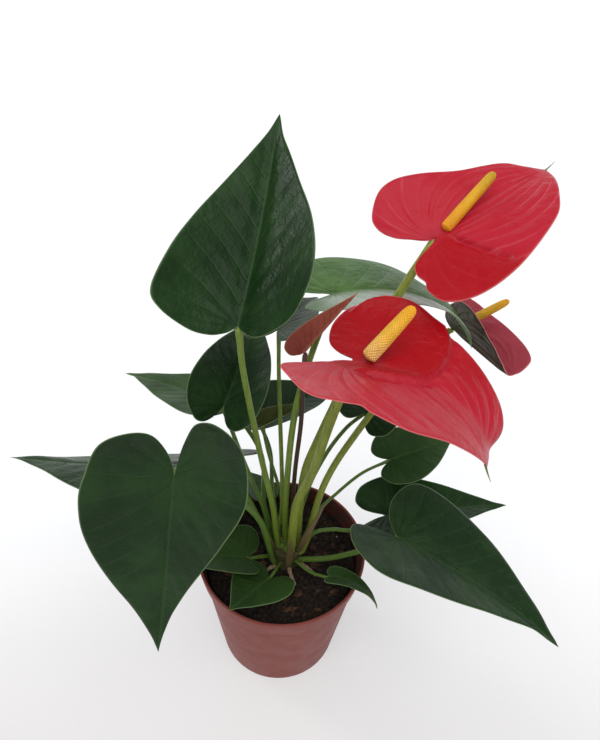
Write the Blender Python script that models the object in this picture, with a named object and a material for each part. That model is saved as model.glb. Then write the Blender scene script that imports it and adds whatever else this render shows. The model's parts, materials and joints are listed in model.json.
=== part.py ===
"""Potted anthurium in a 10 cm nursery pot: pot, potting soil, crown, roots, eighteen leaves on
their petioles, and three flowers, each a spathe and a spadix on its peduncle.

Metres, +Z up. The origin is the centre of the pot's flat base. +Y runs from the plant's front to
its back and +X to its right. Lengths in the tables below are millimetres and angles are degrees.
"""

import math
from collections import namedtuple

import bmesh
import bpy
import numpy as np
from mathutils import Matrix, Vector

MM = 0.001
GAP = 0.3  # clearance between pieces that touch

# Pot: a tapered shell with a thicker collar round its mouth.
POT_HEIGHT = 91.0
POT_RIM_RADIUS = 50.0
POT_BASE_RADIUS = 37.5
POT_WALL = 1.6
POT_FLOOR = 2.5
COLLAR_HEIGHT = 11.0
COLLAR_STEP = 1.5
POT_SEGMENTS = 48
DRAIN_HOLES = 6
DRAIN_HOLE_RADIUS = 3.5
DRAIN_HOLE_RING = 25.0

# Soil, with the crown standing in it.
SOIL_EDGE_HEIGHT = 80.0
SOIL_MIDDLE_HEIGHT = 84.0
CROWN_CENTRE = (3.0, -2.0)
CROWN_RADIUS = 8.5
CROWN_FOOT = 66.0
CROWN_TOP = 97.0

# Leaf sheets.
LEAF_THICKNESS = 0.7
SPATHE_THICKNESS = 0.9
MARGIN_STEPS = 13  # divisions of each half of a margin
SHEET_RINGS = (0.34, 0.68, 1.0)

# The margin of half a heart-shaped leaf, from the sinus round the lobe to the tip. Across is in
# half widths. Along is in lobe lengths behind the petiole and in leaf lengths ahead of it.
HEART_HALF = (
    (0.0, 0.0),
    (-0.42, 0.10),
    (-0.85, 0.28),
    (-1.0, 0.52),
    (-0.72, 0.84),
    (0.02, 1.0),
    (0.22, 0.92),
    (0.42, 0.73),
    (0.62, 0.47),
    (0.78, 0.25),
    (0.90, 0.095),
    (1.0, 0.0),
)

# A blade lies along its midrib, which leaves the base at a heading (anticlockwise from +X) and a
# pitch above level, and is rolled about it. bend is how far the midrib has turned down at the tip,
# hook what the last stretch adds, fold the rise of both halves beside the midrib, cup the further
# rise at the margin, twist the turn about the midrib at the tip, droop the fall of the lobes.
Blade = namedtuple(
    "Blade",
    "base heading pitch roll length widths lobes bend hook fold cup twist droop skew",
    defaults=(0, 0, 0, 0, 0, 0, 0),
)

LEAVES = {
    "upper_left": Blade((-22, -8, 257), 82, 24, -8, 110, (39, 46), (9, 10), -20, 6, 25, 14, 3, 14, 1),
    "front_left": Blade((-44, -52, 213), -106, -70, -11, 94, (35, 35), (40, 27), 7, -15, 11, 10, 16, 33, -7),
    "far_left": Blade((-46, 8, 153), 181, -9, 29, 108, (45, 43), (29, 29), -10, -5, -4, -6, 2, 0, 2),
    "mid_left": Blade((-37, 39, 169), 152, -6, 18, 75, (30, 30), (9, 14), 3, 2, 5, 2, 0, 5),
    "inner_left": Blade((-34, 20, 185), 77, 18, 14, 70, (26, 26), (18, 17), 15, 5, 22, 18, 0, 18),
    "back_centre": Blade((-18.4, 50, 149), 35, 1, -10, 64, (26, 26), (14, 14), 1, 0, 10, 10, 10, 0),
    "back_right": Blade((42, 32, 175), 66, 4, 20, 49, (20, 19), (12, 13), 24, 5, 8, 5),
    "round_right": Blade((64, 42, 127), 29, -1, 28, 53, (19.5, 21), (13, 14), 13, 4, 16, 13, 0, 12, -1),
    "right_back": Blade((61, 12, 111), 5, 12, -8, 71, (28, 28), (17, 20), 9, 1, 7, 4, 0, 2),
    "right_front": Blade((62, -18, 132), -28, -7, -11, 95, (40, 38), (13, 24), 4, 17, 14, -1, -5, 23, 2.5),
    "top_arched": Blade((19.4, 41.6, 244.7), 18, 6, -10, 100, (40, 27), (26, 18), 56, 22, 6, -1, 5, 9),
    "top_back": Blade((-7, 39, 223), 68, -1, -12, 51, (20, 20), (14, 13), 16, 4, 9, 5, 3, 3),
    "young_furled": Blade((6, 9, 232), 20, 51, -36, 38, (10, 10), (5, 5), 0, 0, 80, 4),
    "young_olive": Blade((-14, 25, 168), 20, 25, 10, 27, (8, 8), (5, 5), 12, 0, 30, 20),
    "basal_front": Blade((-7, -27, 98), 236, 18, 6, 34, (17, 19), (10, 9), -6, 0, 2, 2, -6, -6),
    "basal_right": Blade((29, -22, 97), -10, 14, -14, 36, (7, 7), (3, 3), 75, 18, 8, 4, 3),
    "basal_left": Blade((-20, -12, 96), 185, 12, 5, 42, (19, 19), (7, 7), 28, 5, 12, 11),
    "basal_back": Blade((-16, 33, 100), 124, 2, 22, 30, (12, 12), (8, 8), 25, 5, 8, 5),
}

# Each spathe's margin, along and across from where the peduncle joins it, left half and right half.
UPPER_SPATHE_MARGIN = (
    (
        (0, 0), (-3, 1.5), (-8, 6), (-14, 11), (-18, 18), (-16, 25), (-5, 34), (6, 36),
        (18, 32), (33, 24), (46, 19), (57, 14), (62, 7), (67, -1),
    ),
    (
        (0, 0), (-5, -3), (-11, -4), (-17, -7), (-20, -12), (-20, -17), (-23, -22), (-22, -31),
        (-12, -38), (4, -41), (20, -39), (39, -32), (51, -22), (60, -12), (67, -1),
    ),
)
LOWER_SPATHE_MARGIN = (
    (
        (0, 0), (-2, 3), (-8, 5), (-13, 10), (-15, 19), (-14, 28), (-9, 37), (3, 41),
        (15, 40), (26, 33), (37, 27), (52, 21), (65, 16), (71, 10), (71, -2), (69, -14),
    ),
    (
        (0, 0), (-6, -1), (-13, -7), (-18, -14), (-24, -24), (-18, -32), (-9, -41), (0, -44),
        (6, -43), (12, -40), (17, -43), (29, -41), (43, -31), (54, -24), (69, -14),
    ),
)
SIDE_SPATHE_MARGIN = (
    (
        (0, 0), (-6, 3), (-14, 10), (-17, 18), (-13, 22), (-5, 23), (4, 23), (16, 23),
        (29, 22), (39, 20), (46, 17), (49, 13), (50, 6), (48, 0),
    ),
    (
        (0, 0), (-4, -2), (-7, -5), (-5, -13), (1, -20), (7, -24), (15, -24), (22, -21),
        (28, -17), (34, -12), (40, -6), (48, 0),
    ),
)
SPATHE_MARGINS = {
    "upper": UPPER_SPATHE_MARGIN,
    "lower": LOWER_SPATHE_MARGIN,
    "side": SIDE_SPATHE_MARGIN,
}
SPATHES = {
    "upper": Blade((61, 32, 282), 33, 25, 11, 68, (37, 40), (18, 22), 12, 8, 6, 5, -13, 15, -2),
    "lower": Blade((26.2, -21.1, 252.7), -16, 10, -6, 77, (41, 43), (17, 25), 60, 26, 10, 3, 12, 18),
    "side": Blade((92.7, 80.9, 200.3), -60, 0, -30, 48, (22, 24), (16, 7), 0, 0, 50, 0),
}

# A spadix stands on its spathe. Offset is from the spathe's base along its midrib and above it.
Spadix = namedtuple("Spadix", "offset heading pitch length radius")
SPADICES = {
    "upper": Spadix((6, 3.4), 40, 36, 34, 2.5),
    "lower": Spadix((6, 4.0), 34, 41, 28, 3.0),
    "side": Spadix((7, 9), 2, 38, 25, 2.4),
}

# A stem rises from the crown at a bearing, a distance from its axis and a height, through its way
# points, to just under its blade.
Stem = namedtuple("Stem", "bearing reach height way radii")
LOW, HIGH = 90.0, 98.0
PETIOLES = {
    "upper_left": Stem(190, 5.5, HIGH, ((-6, -3, 133), (-13, -4, 177), (-20, -7, 230)), (1.9, 1.4)),
    "front_left": Stem(225, 10.5, LOW, ((-11, -17, 136), (-25, -31, 178), (-37, -42, 207)), (1.8, 1.4)),
    "far_left": Stem(172, 10.5, LOW, ((-14, 1, 116), (-27, 5, 142)), (1.6, 1.2)),
    "mid_left": Stem(136, 10.5, LOW, ((-12, 13, 118), (-13.5, 20, 146), (-24, 28, 163)), (1.5, 1.1)),
    "inner_left": Stem(156, 10.5, LOW, ((-11, 5, 118), (-23, 12, 151)), (1.5, 1.1)),
    "back_centre": Stem(114, 10.5, LOW, ((-7, 16, 120), (-10, 34, 137)), (1.4, 1.1)),
    "back_right": Stem(50, 5.5, HIGH, ((13, 10, 132), (22, 19, 153), (32, 27, 166)), (1.4, 1.0)),
    "round_right": Stem(38, 10.5, LOW, ((20, 13, 108), (31, 22, 116), (46, 33, 123)), (1.1, 0.9)),
    "right_back": Stem(22, 10.5, LOW, ((19, 4, 101), (30, 7, 101), (43, 9, 99)), (1.3, 1.1)),
    "right_front": Stem(-22, 10.5, 88, ((27, -9, 95), (43, -13, 109)), (1.8, 1.4)),
    "top_arched": Stem(110, 3.0, HIGH, ((1, 2, 130), (3, 7, 187), (8.5, 15, 219)), (1.9, 1.5)),
    "top_back": Stem(135, 8.0, HIGH, ((-1, 7, 125), (-4, 21, 173), (-6, 31, 200)), (1.4, 1.0)),
    "young_furled": Stem(75, 7.5, HIGH, ((5.3, 5, 151), (7, 6.5, 189), (6.7, 8, 216)), (1.3, 1.1)),
    "young_olive": Stem(98, 10.5, LOW, ((-2, 13, 122), (-10, 20, 150)), (1.1, 0.9)),
    "basal_front": Stem(248, 10.5, LOW, ((-3, -19, 94),), (1.0, 0.8)),
    "basal_right": Stem(-48, 10.5, LOW, ((18, -17, 92),), (1.0, 0.8)),
    "basal_left": Stem(196, 10.5, 88, ((-13, -8, 91),), (1.2, 1.0)),
    "basal_back": Stem(128, 10.5, 87, ((-9, 18, 92),), (1.0, 0.9)),
}
PEDUNCLES = {
    "upper": Stem(
        15, 6.0, HIGH, ((10, 3, 149), (17, 9, 177), (37, 17, 239), (47, 20.5, 258), (54, 26, 270)), (2.3, 1.9)
    ),
    "lower": Stem(-60, 5.0, HIGH, ((7, -7, 139), (14, -11, 171), (19.6, -16, 210)), (2.6, 2.1)),
    "side": Stem(-4, 10.2, 96, ((22, 6, 143), (38, 18, 174), (66.5, 51.6, 193.7)), (2.1, 1.7)),
}
SHEATHS = {
    "front": Stem(-82, 10.6, LOW, ((5, -13, 103), (6, -14, 118)), (1.6, 0.4)),
    "right": Stem(-34, 8.4, HIGH, ((15, -7, 116), (23, -4, 139)), (1.6, 0.4)),
    "left": Stem(208, 8.6, HIGH - 1, ((-7, -8, 108), (-9, -9, 122)), (1.5, 0.4)),
}
ROOTS = {
    "front": Stem(282, 10.2, 88, ((6, -16, 88), (9, -22, 86)), (1.5, 0.9)),
    "front_left": Stem(240, 10.2, 87, ((-6, -13, 88), (-11, -18, 87)), (1.4, 0.9)),
    "right": Stem(-35, 10.2, 87, ((16, -11, 87), (21, -15, 86)), (1.3, 0.8)),
    "back": Stem(80, 10.2, 87, ((5, 13, 88), (6, 19, 86)), (1.3, 0.8)),
}
STEM_STEPS = 11


def clear_scene():
    for scene_object in list(bpy.data.objects):
        bpy.data.objects.remove(scene_object, do_unlink=True)


def material(name, colour, roughness):
    made = bpy.data.materials.new(name)
    made.use_nodes = True
    shader = made.node_tree.nodes["Principled BSDF"]
    shader.inputs["Base Color"].default_value = (*colour, 1.0)
    shader.inputs["Roughness"].default_value = roughness
    shader.inputs["Metallic"].default_value = 0.0
    return made


def add_object(name, data, finish):
    data.materials.append(finish)
    made = bpy.data.objects.new(name, data)
    bpy.context.scene.collection.objects.link(made)
    return made


def mesh_object(name, points, faces, finish):
    """An object from points in millimetres."""
    mesh = bpy.data.meshes.new(name)
    mesh.from_pydata([tuple(p) for p in np.asarray(points) * MM], [], faces)
    mesh.shade_smooth()
    return add_object(name, mesh, finish)


def lathe(name, profile, segments, finish, centre=(0.0, 0.0)):
    """A body turned about a vertical axis. The profile runs from the axis at the bottom, up the
    outside, to the axis at the top."""
    points = [(centre[0], centre[1], profile[0][1])]
    for radius, height in profile[1:-1]:
        for step in range(segments):
            turn = 2 * math.pi * step / segments
            x = centre[0] + radius * math.cos(turn)
            y = centre[1] + radius * math.sin(turn)
            points.append((x, y, height))
    points.append((centre[0], centre[1], profile[-1][1]))
    last = len(points) - 1
    rings = len(profile) - 2
    faces = []
    for step in range(segments):
        following = (step + 1) % segments
        faces.append((0, 1 + following, 1 + step))
        for ring in range(rings - 1):
            low = 1 + ring * segments
            high = low + segments
            faces.append((low + step, low + following, high + following, high + step))
        top = 1 + (rings - 1) * segments
        faces.append((top + step, top + following, last))
    return mesh_object(name, points, faces, finish)


def smooth_path(points, count):
    """Catmull-Rom curve through the points, read at evenly spaced parameters."""
    points = np.asarray(points, float)
    ends = (2 * points[0] - points[1], 2 * points[-1] - points[-2])
    points = np.vstack([ends[0], points, ends[1]])
    spans = len(points) - 3
    path = []
    for place in np.linspace(0, spans, count):
        span = min(int(place), spans - 1)
        u = place - span
        a, b, c, d = points[span : span + 4]
        steady = 2 * b + (c - a) * u
        turning = (2 * a - 5 * b + 4 * c - d) * u * u + (3 * b - a - 3 * c + d) * u**3
        path.append(0.5 * (steady + turning))
    return np.array(path)


def heart_margin(blade, steps):
    """The closed margin of a heart-shaped blade in its flat sheet, from the sinus round to it."""
    sides = []
    for width, lobe, side in zip(blade.widths, blade.lobes, (1, -1)):
        points = []
        for along, across in HEART_HALF:
            reach = blade.length if along > 0 else lobe
            points.append((along * reach, side * across * width))
        sides.append(smooth_path(points, steps + 1))
    margin = np.vstack([sides[0], sides[1][-2:0:-1]])
    ahead = np.clip(margin[:, 0] / blade.length, 0, 1)
    margin[:, 1] += blade.skew * np.sin(ahead * math.pi)
    return margin


def drawn_margin(halves, steps):
    left, right = (smooth_path(points, steps + 1) for points in halves)
    return np.vstack([left, right[-2:0:-1]])


def blade_axes(blade):
    """Unit vectors along the blade, to its left and out of its upper face."""
    heading, pitch, roll = np.radians([blade.heading, blade.pitch, blade.roll])
    along = np.array(
        [math.cos(heading) * math.cos(pitch), math.sin(heading) * math.cos(pitch), math.sin(pitch)]
    )
    level = np.array([-math.sin(heading), math.cos(heading), 0.0])
    upward = np.cross(along, level)
    left = level * math.cos(roll) + upward * math.sin(roll)
    return along, left, np.cross(along, left)


def bent_sheet(blade, flat):
    """Carries points of the flat sheet on to the bent blade, in the object's frame."""
    bend, hook, fold, cup, twist, droop = np.radians(
        [blade.bend, blade.hook, blade.fold, blade.cup, blade.twist, blade.droop]
    )
    stations = np.linspace(-0.6, 1.1, 171)
    ahead = bend * stations + hook * np.clip(stations, 0, None) ** 3
    turn = np.where(stations > 0, ahead, -droop * stations / 0.3)
    step = stations[1] - stations[0]
    start = np.argmin(abs(stations))
    forward = np.concatenate([[0], np.cumsum((np.cos(turn[1:]) + np.cos(turn[:-1])) / 2 * step)])
    fall = np.concatenate([[0], np.cumsum((np.sin(turn[1:]) + np.sin(turn[:-1])) / 2 * step)])
    along = flat[:, 0] / blade.length
    across = flat[:, 1] / blade.length
    width = sum(blade.widths) / 2 / blade.length
    distance = np.abs(across)
    rise = fold * np.sqrt(np.clip(distance / (0.15 * width), 0, 1)) + cup * distance / width
    side = across * np.cos(rise)
    lift = distance * np.sin(rise)
    turned = twist * along
    side, lift = (
        side * np.cos(turned) - lift * np.sin(turned),
        side * np.sin(turned) + lift * np.cos(turned),
    )
    slope = np.interp(along, stations, turn)
    x = np.interp(along, stations, forward - forward[start]) + lift * np.sin(slope)
    z = np.interp(along, stations, fall[start] - fall) + lift * np.cos(slope)
    axes = blade_axes(blade)
    local = blade.length * np.stack([x, side, z], axis=1)
    return np.array(blade.base, float) + local @ np.array(axes)


def sheet_normals(blade, flat):
    """Unit vectors out of the upper face at points of the flat sheet."""
    reach = 0.01 * blade.length
    along = bent_sheet(blade, flat + (reach, 0)) - bent_sheet(blade, flat - (reach, 0))
    across = bent_sheet(blade, flat + (0, reach)) - bent_sheet(blade, flat - (0, reach))
    normals = np.cross(along, across)
    return normals / np.linalg.norm(normals, axis=1)[:, None]


def add_blade(name, blade, margin, thickness, finish):
    """A thin closed sheet: rings shrink from the margin to a point on the midrib, on both faces."""
    hub = np.array([0.06 * blade.length, 0.0])
    count = len(margin)
    flat = [hub[None]]
    for ring in SHEET_RINGS:
        flat.append(hub + ring * (margin - hub))
    flat = np.vstack(flat)
    middle = bent_sheet(blade, flat)
    half_thickness = np.full(len(flat), thickness / 2)
    half_thickness[-count:] *= 0.5
    offset = sheet_normals(blade, flat) * half_thickness[:, None]
    points = np.vstack([middle + offset, middle - offset])
    under = len(flat)
    faces = []
    for step in range(count):
        following = (step + 1) % count
        faces.append((0, 1 + following, 1 + step))
        faces.append((under, under + 1 + step, under + 1 + following))
        for ring in range(len(SHEET_RINGS) - 1):
            inner = 1 + ring * count
            outer = inner + count
            a, b = inner + step, inner + following
            c, d = outer + following, outer + step
            for corners in ((a, b, c), (a, c, d)):
                faces.append(corners)
                faces.append(tuple(under + corner for corner in reversed(corners)))
        edge = 1 + (len(SHEET_RINGS) - 1) * count
        a, b = edge + step, edge + following
        faces.append((a, b, under + b, under + a))
    return mesh_object(name, points, faces, finish)


def crown_point(stem):
    turn = math.radians(stem.bearing)
    x = CROWN_CENTRE[0] + stem.reach * math.cos(turn)
    y = CROWN_CENTRE[1] + stem.reach * math.sin(turn)
    return (x, y, stem.height)


def add_tube(name, path, radii, finish):
    """A tapered tube along a path in millimetres, with flat ends."""
    curve = bpy.data.curves.new(name, "CURVE")
    curve.dimensions = "3D"
    curve.bevel_depth = MM
    curve.bevel_resolution = 1
    curve.use_fill_caps = True
    spline = curve.splines.new("POLY")
    spline.points.add(len(path) - 1)
    for point, place, radius in zip(spline.points, path, radii):
        point.co = (*(np.asarray(place) * MM), 1.0)
        point.radius = radius
    return add_object(name, curve, finish)


def add_stem(name, stem, end, finish, steps=STEM_STEPS):
    points = [crown_point(stem), *stem.way]
    if end is not None:
        points.append(tuple(end))
    path = smooth_path(points, steps + 1)
    return add_tube(name, path, np.linspace(*stem.radii, len(path)), finish)


def under_blade(blade, radius, thickness):
    """Where a stem's end is centred, clear of the blade's lower face by the gap."""
    along, _, upward = blade_axes(blade)
    clear = thickness / 2 + GAP + radius
    return np.array(blade.base, float) - upward * clear - along * 0.5


def add_spadix(name, blade, spadix, finish):
    along, _, upward = blade_axes(blade)
    foot = np.array(blade.base, float) + along * spadix.offset[0] + upward * spadix.offset[1]
    heading, pitch = math.radians(spadix.heading), math.radians(spadix.pitch)
    axis = Vector(
        (math.cos(heading) * math.cos(pitch), math.sin(heading) * math.cos(pitch), math.sin(pitch))
    )
    r, length = spadix.radius, spadix.length
    profile = [
        (0, 0),
        (0.75 * r, 0),
        (r, 1.5),
        (r, 0.35 * length),
        (0.92 * r, 0.75 * length),
        (0.75 * r, length - 2.2),
        (0.45 * r, length - 0.6),
        (0, length),
    ]
    body = lathe(name, profile, 10, finish)
    body.location = Vector(foot * MM)
    body.rotation_mode = "QUATERNION"
    body.rotation_quaternion = axis.to_track_quat("Z", "Y")
    return body


def outer_radius(height):
    """Outer radius of the pot's tapered wall below the collar."""
    top = POT_RIM_RADIUS - COLLAR_STEP
    return POT_BASE_RADIUS + (top - POT_BASE_RADIUS) * height / POT_HEIGHT


def add_pot(finish):
    under_collar = POT_HEIGHT - COLLAR_HEIGHT
    collar_radius = outer_radius(under_collar) + COLLAR_STEP
    profile = [
        (0, 0),
        (POT_BASE_RADIUS - 1.0, 0),
        (POT_BASE_RADIUS, 1.0),
        (outer_radius(under_collar), under_collar),
        (collar_radius, under_collar + 0.6),
        (POT_RIM_RADIUS, POT_HEIGHT - 0.6),
        (POT_RIM_RADIUS - 0.5, POT_HEIGHT),
        (POT_RIM_RADIUS - POT_WALL + 0.3, POT_HEIGHT),
        (POT_RIM_RADIUS - POT_WALL, POT_HEIGHT - 0.5),
        (outer_radius(under_collar) - POT_WALL, under_collar - 1.0),
        (outer_radius(POT_FLOOR) - POT_WALL, POT_FLOOR),
        (0, POT_FLOOR),
    ]
    pot = lathe("pot", profile, POT_SEGMENTS, finish)
    cut = pot.modifiers.new("drain_holes", "BOOLEAN")
    cut.operation = "DIFFERENCE"
    cut.solver = "EXACT"
    cut.object = drain_cutter()
    return pot


def drain_cutter():
    """One mesh of upright cylinders, one for each drainage hole."""
    pins = bmesh.new()
    for index in range(DRAIN_HOLES):
        turn = 2 * math.pi * (index + 0.5) / DRAIN_HOLES
        across = DRAIN_HOLE_RING * MM * math.cos(turn)
        back = DRAIN_HOLE_RING * MM * math.sin(turn)
        bmesh.ops.create_cone(
            pins,
            cap_ends=True,
            segments=12,
            radius1=DRAIN_HOLE_RADIUS * MM,
            radius2=DRAIN_HOLE_RADIUS * MM,
            depth=4 * POT_FLOOR * MM,
            matrix=Matrix.Translation((across, back, 0.1 * MM)),
        )
    mesh = bpy.data.meshes.new("drain_cutter")
    pins.to_mesh(mesh)
    pins.free()
    cutter = bpy.data.objects.new("drain_cutter", mesh)
    bpy.context.scene.collection.objects.link(cutter)
    cutter.hide_render = True
    cutter.display_type = "WIRE"
    return cutter


def inner_radius(height):
    """Inner radius of the pot between its floor and the collar's foot."""
    low, high = POT_FLOOR, POT_HEIGHT - COLLAR_HEIGHT - 1.0
    bottom = outer_radius(POT_FLOOR) - POT_WALL
    top = outer_radius(POT_HEIGHT - COLLAR_HEIGHT) - POT_WALL
    return bottom + (top - bottom) * (height - low) / (high - low)


def add_soil(finish):
    """The soil fills the pot to below its rim, with a pit where the crown stands."""
    foot = POT_FLOOR + GAP
    pit = CROWN_RADIUS + 2 * GAP
    edge = inner_radius(SOIL_EDGE_HEIGHT - 1) - 2 * GAP
    profile = [
        (0, foot),
        (inner_radius(foot) - 2 * GAP, foot),
        (inner_radius(SOIL_EDGE_HEIGHT - 3) - 2 * GAP, SOIL_EDGE_HEIGHT - 3),
        (edge - 1.5, SOIL_EDGE_HEIGHT),
        (0.6 * edge, (SOIL_EDGE_HEIGHT + SOIL_MIDDLE_HEIGHT) / 2),
        (pit + 2, SOIL_MIDDLE_HEIGHT),
        (pit, SOIL_MIDDLE_HEIGHT - 1),
        (pit, CROWN_FOOT - GAP),
        (0, CROWN_FOOT - GAP),
    ]
    soil = lathe("potting_soil", profile, 36, finish)
    # The pit's rings stand round the crown and the outer rings round the pot's axis.
    for vertex in soil.data.vertices:
        x, y, z = vertex.co
        if math.hypot(x, y) < (pit + 2.5) * MM and z > (CROWN_FOOT - 1) * MM:
            vertex.co = (x + CROWN_CENTRE[0] * MM, y + CROWN_CENTRE[1] * MM, z)
    return soil


def add_crown(finish):
    """The short rooting stem, ringed by the scars of old leaves."""
    profile = [(0, CROWN_FOOT), (0.7 * CROWN_RADIUS, CROWN_FOOT)]
    rings = 4
    for index in range(rings):
        height = CROWN_FOOT + 2 + index * 7
        profile.append((CROWN_RADIUS, height))
        profile.append((0.9 * CROWN_RADIUS, height + 5))
    profile.append((0.72 * CROWN_RADIUS, CROWN_TOP - 1.5))
    profile.append((0, CROWN_TOP - 1.2))
    return lathe("crown", profile, 14, finish, CROWN_CENTRE)


def add_leaves(dark, light, red_brown, olive, stalk, bright_stalk, red_stalk):
    blades = {"top_arched": light, "young_furled": red_brown, "young_olive": olive}
    stalks = {
        "top_arched": bright_stalk,
        "upper_left": bright_stalk,
        "young_furled": red_stalk,
        "top_back": bright_stalk,
    }
    for key, leaf in LEAVES.items():
        margin = heart_margin(leaf, MARGIN_STEPS)
        add_blade(f"leaf_{key}", leaf, margin, LEAF_THICKNESS, blades.get(key, dark))
        stem = PETIOLES[key]
        end = under_blade(leaf, stem.radii[1], LEAF_THICKNESS)
        add_stem(f"petiole_{key}", stem, end, stalks.get(key, stalk))


def add_flowers(red, dull_red, yellow, stalk):
    for key, spathe in SPATHES.items():
        margin = drawn_margin(SPATHE_MARGINS[key], 18)
        finish = dull_red if key == "side" else red
        add_blade(f"spathe_{key}", spathe, margin, SPATHE_THICKNESS, finish)
        stem = PEDUNCLES[key]
        end = under_blade(spathe, stem.radii[1], SPATHE_THICKNESS)
        add_stem(f"peduncle_{key}", stem, end, stalk, 14)
        add_spadix(f"spadix_{key}", spathe, SPADICES[key], yellow)


def main():
    clear_scene()
    leaf_green = material("leaf_green", (0.021, 0.070, 0.028), 0.35)
    light_green = material("light_leaf_green", (0.07, 0.19, 0.05), 0.35)
    olive = material("olive_leaf", (0.12, 0.15, 0.03), 0.4)
    red_brown = material("young_leaf_red", (0.22, 0.05, 0.03), 0.35)
    stalk_green = material("stalk_green", (0.06, 0.15, 0.03), 0.45)
    bright_stalk = material("stalk_yellow_green", (0.20, 0.30, 0.04), 0.45)
    red_stalk = material("stalk_red_brown", (0.10, 0.06, 0.03), 0.45)
    spathe_red = material("spathe_red", (0.60, 0.01, 0.03), 0.2)
    dull_red = material("spathe_dull_red", (0.35, 0.05, 0.09), 0.3)
    yellow = material("spadix_yellow", (0.85, 0.52, 0.05), 0.6)
    terracotta = material("pot_terracotta_plastic", (0.30, 0.07, 0.05), 0.5)
    soil = material("potting_soil_brown", (0.02, 0.012, 0.009), 0.95)
    brown = material("crown_brown", (0.06, 0.045, 0.025), 0.8)
    sheath_brown = material("sheath_brown", (0.16, 0.11, 0.05), 0.7)
    root_pale = material("root_pale", (0.30, 0.24, 0.17), 0.7)

    add_pot(terracotta)
    add_soil(soil)
    add_crown(brown)
    add_leaves(leaf_green, light_green, red_brown, olive, stalk_green, bright_stalk, red_stalk)
    add_flowers(spathe_red, dull_red, yellow, bright_stalk)
    for key, sheath in SHEATHS.items():
        add_stem(f"sheath_{key}", sheath, None, sheath_brown, 5)
    for key, root in ROOTS.items():
        add_stem(f"root_{key}", root, None, root_pale, 5)


main()
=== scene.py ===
"""Looks of the potted anthurium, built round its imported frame.

Every leaf and spathe is rebuilt as a fine veined sheet on the bend of its CAD blade, every stem as
a grooved tube, every spadix with its florets, and the pot, soil, crown and roots with their own
surfaces. Lengths in the tables are millimetres and angles are degrees, in the frame of the part:
the origin is the centre of the pot's base, +X is to the plant's right and +Y to its back.
"""

import json
import math
from collections import namedtuple

import bmesh
import bpy
import numpy as np
from mathutils import Matrix, Vector, noise

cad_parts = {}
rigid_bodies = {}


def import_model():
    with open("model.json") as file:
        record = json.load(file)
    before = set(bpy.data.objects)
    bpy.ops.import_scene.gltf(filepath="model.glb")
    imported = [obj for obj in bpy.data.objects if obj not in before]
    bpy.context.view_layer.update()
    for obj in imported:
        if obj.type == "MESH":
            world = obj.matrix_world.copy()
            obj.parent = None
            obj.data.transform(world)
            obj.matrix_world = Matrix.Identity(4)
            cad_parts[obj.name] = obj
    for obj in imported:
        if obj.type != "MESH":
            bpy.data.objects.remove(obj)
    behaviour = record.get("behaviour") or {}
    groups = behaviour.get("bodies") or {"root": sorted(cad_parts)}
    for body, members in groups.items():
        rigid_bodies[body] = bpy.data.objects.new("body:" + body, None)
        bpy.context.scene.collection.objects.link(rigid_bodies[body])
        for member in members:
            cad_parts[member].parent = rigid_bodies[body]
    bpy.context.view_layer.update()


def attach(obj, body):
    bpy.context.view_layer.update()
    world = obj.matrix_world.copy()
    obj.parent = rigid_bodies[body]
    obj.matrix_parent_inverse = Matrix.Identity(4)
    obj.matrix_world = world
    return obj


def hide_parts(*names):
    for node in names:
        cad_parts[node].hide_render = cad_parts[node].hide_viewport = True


MM = 0.001

# Pot and soil.
POT_HEIGHT = 91.0
POT_RIM_RADIUS = 50.0
POT_BASE_RADIUS = 37.5
POT_WALL = 1.6
POT_FLOOR = 2.5
COLLAR_HEIGHT = 11.0
COLLAR_STEP = 1.5
POT_SEGMENTS = 160
DRAIN_HOLES = 6
DRAIN_HOLE_RADIUS = 3.5
DRAIN_HOLE_RING = 25.0
SOIL_EDGE_HEIGHT = 80.0
SOIL_MIDDLE_HEIGHT = 84.0
CROWN_CENTRE = (3.0, -2.0)
CROWN_RADIUS = 8.5
CROWN_FOOT = 66.0
CROWN_TOP = 97.0
CROWN_SCARS = 12

# Fineness of the sheets and tubes.
LEAF_THICKNESS = 0.6
SPATHE_THICKNESS = 0.8
LEAF_STEPS = 84
LEAF_RINGS = 26
SPATHE_STEPS = 130
SPATHE_RINGS = 44
STEM_SIDES = 20
STEM_STEPS = 64
SPIKE_RINGS = 7
SPIKE_SIDES = 8
SPADIX_RINGS = 240
SPADIX_SIDES = 132
SOIL_RINGS = 46
SOIL_SIDES = 150

# The margin of half a heart-shaped leaf, from the sinus round the lobe to the tip. Across is in
# half widths. Along is in lobe lengths behind the petiole and in leaf lengths ahead of it.
HEART_HALF = (
    (0.0, 0.0), (-0.42, 0.10), (-0.85, 0.28), (-1.0, 0.52), (-0.72, 0.84), (0.02, 1.0),
    (0.22, 0.92), (0.42, 0.73), (0.62, 0.47), (0.78, 0.25), (0.90, 0.095), (1.0, 0.0),
)

# A leaf or spathe: where its stalk joins it, how it points, its length, half widths and lobe lengths
# (left, right), and how it bends. Bend and hook curve it down along the midrib, fold and cup raise
# its sides, twist turns its tip, droop lowers its lobes, and skew bows its outline.
Blade = namedtuple(
    "Blade",
    "base heading pitch roll length widths lobes bend hook fold cup twist droop skew",
    defaults=(0, 0, 0, 0, 0, 0, 0),
)

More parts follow.
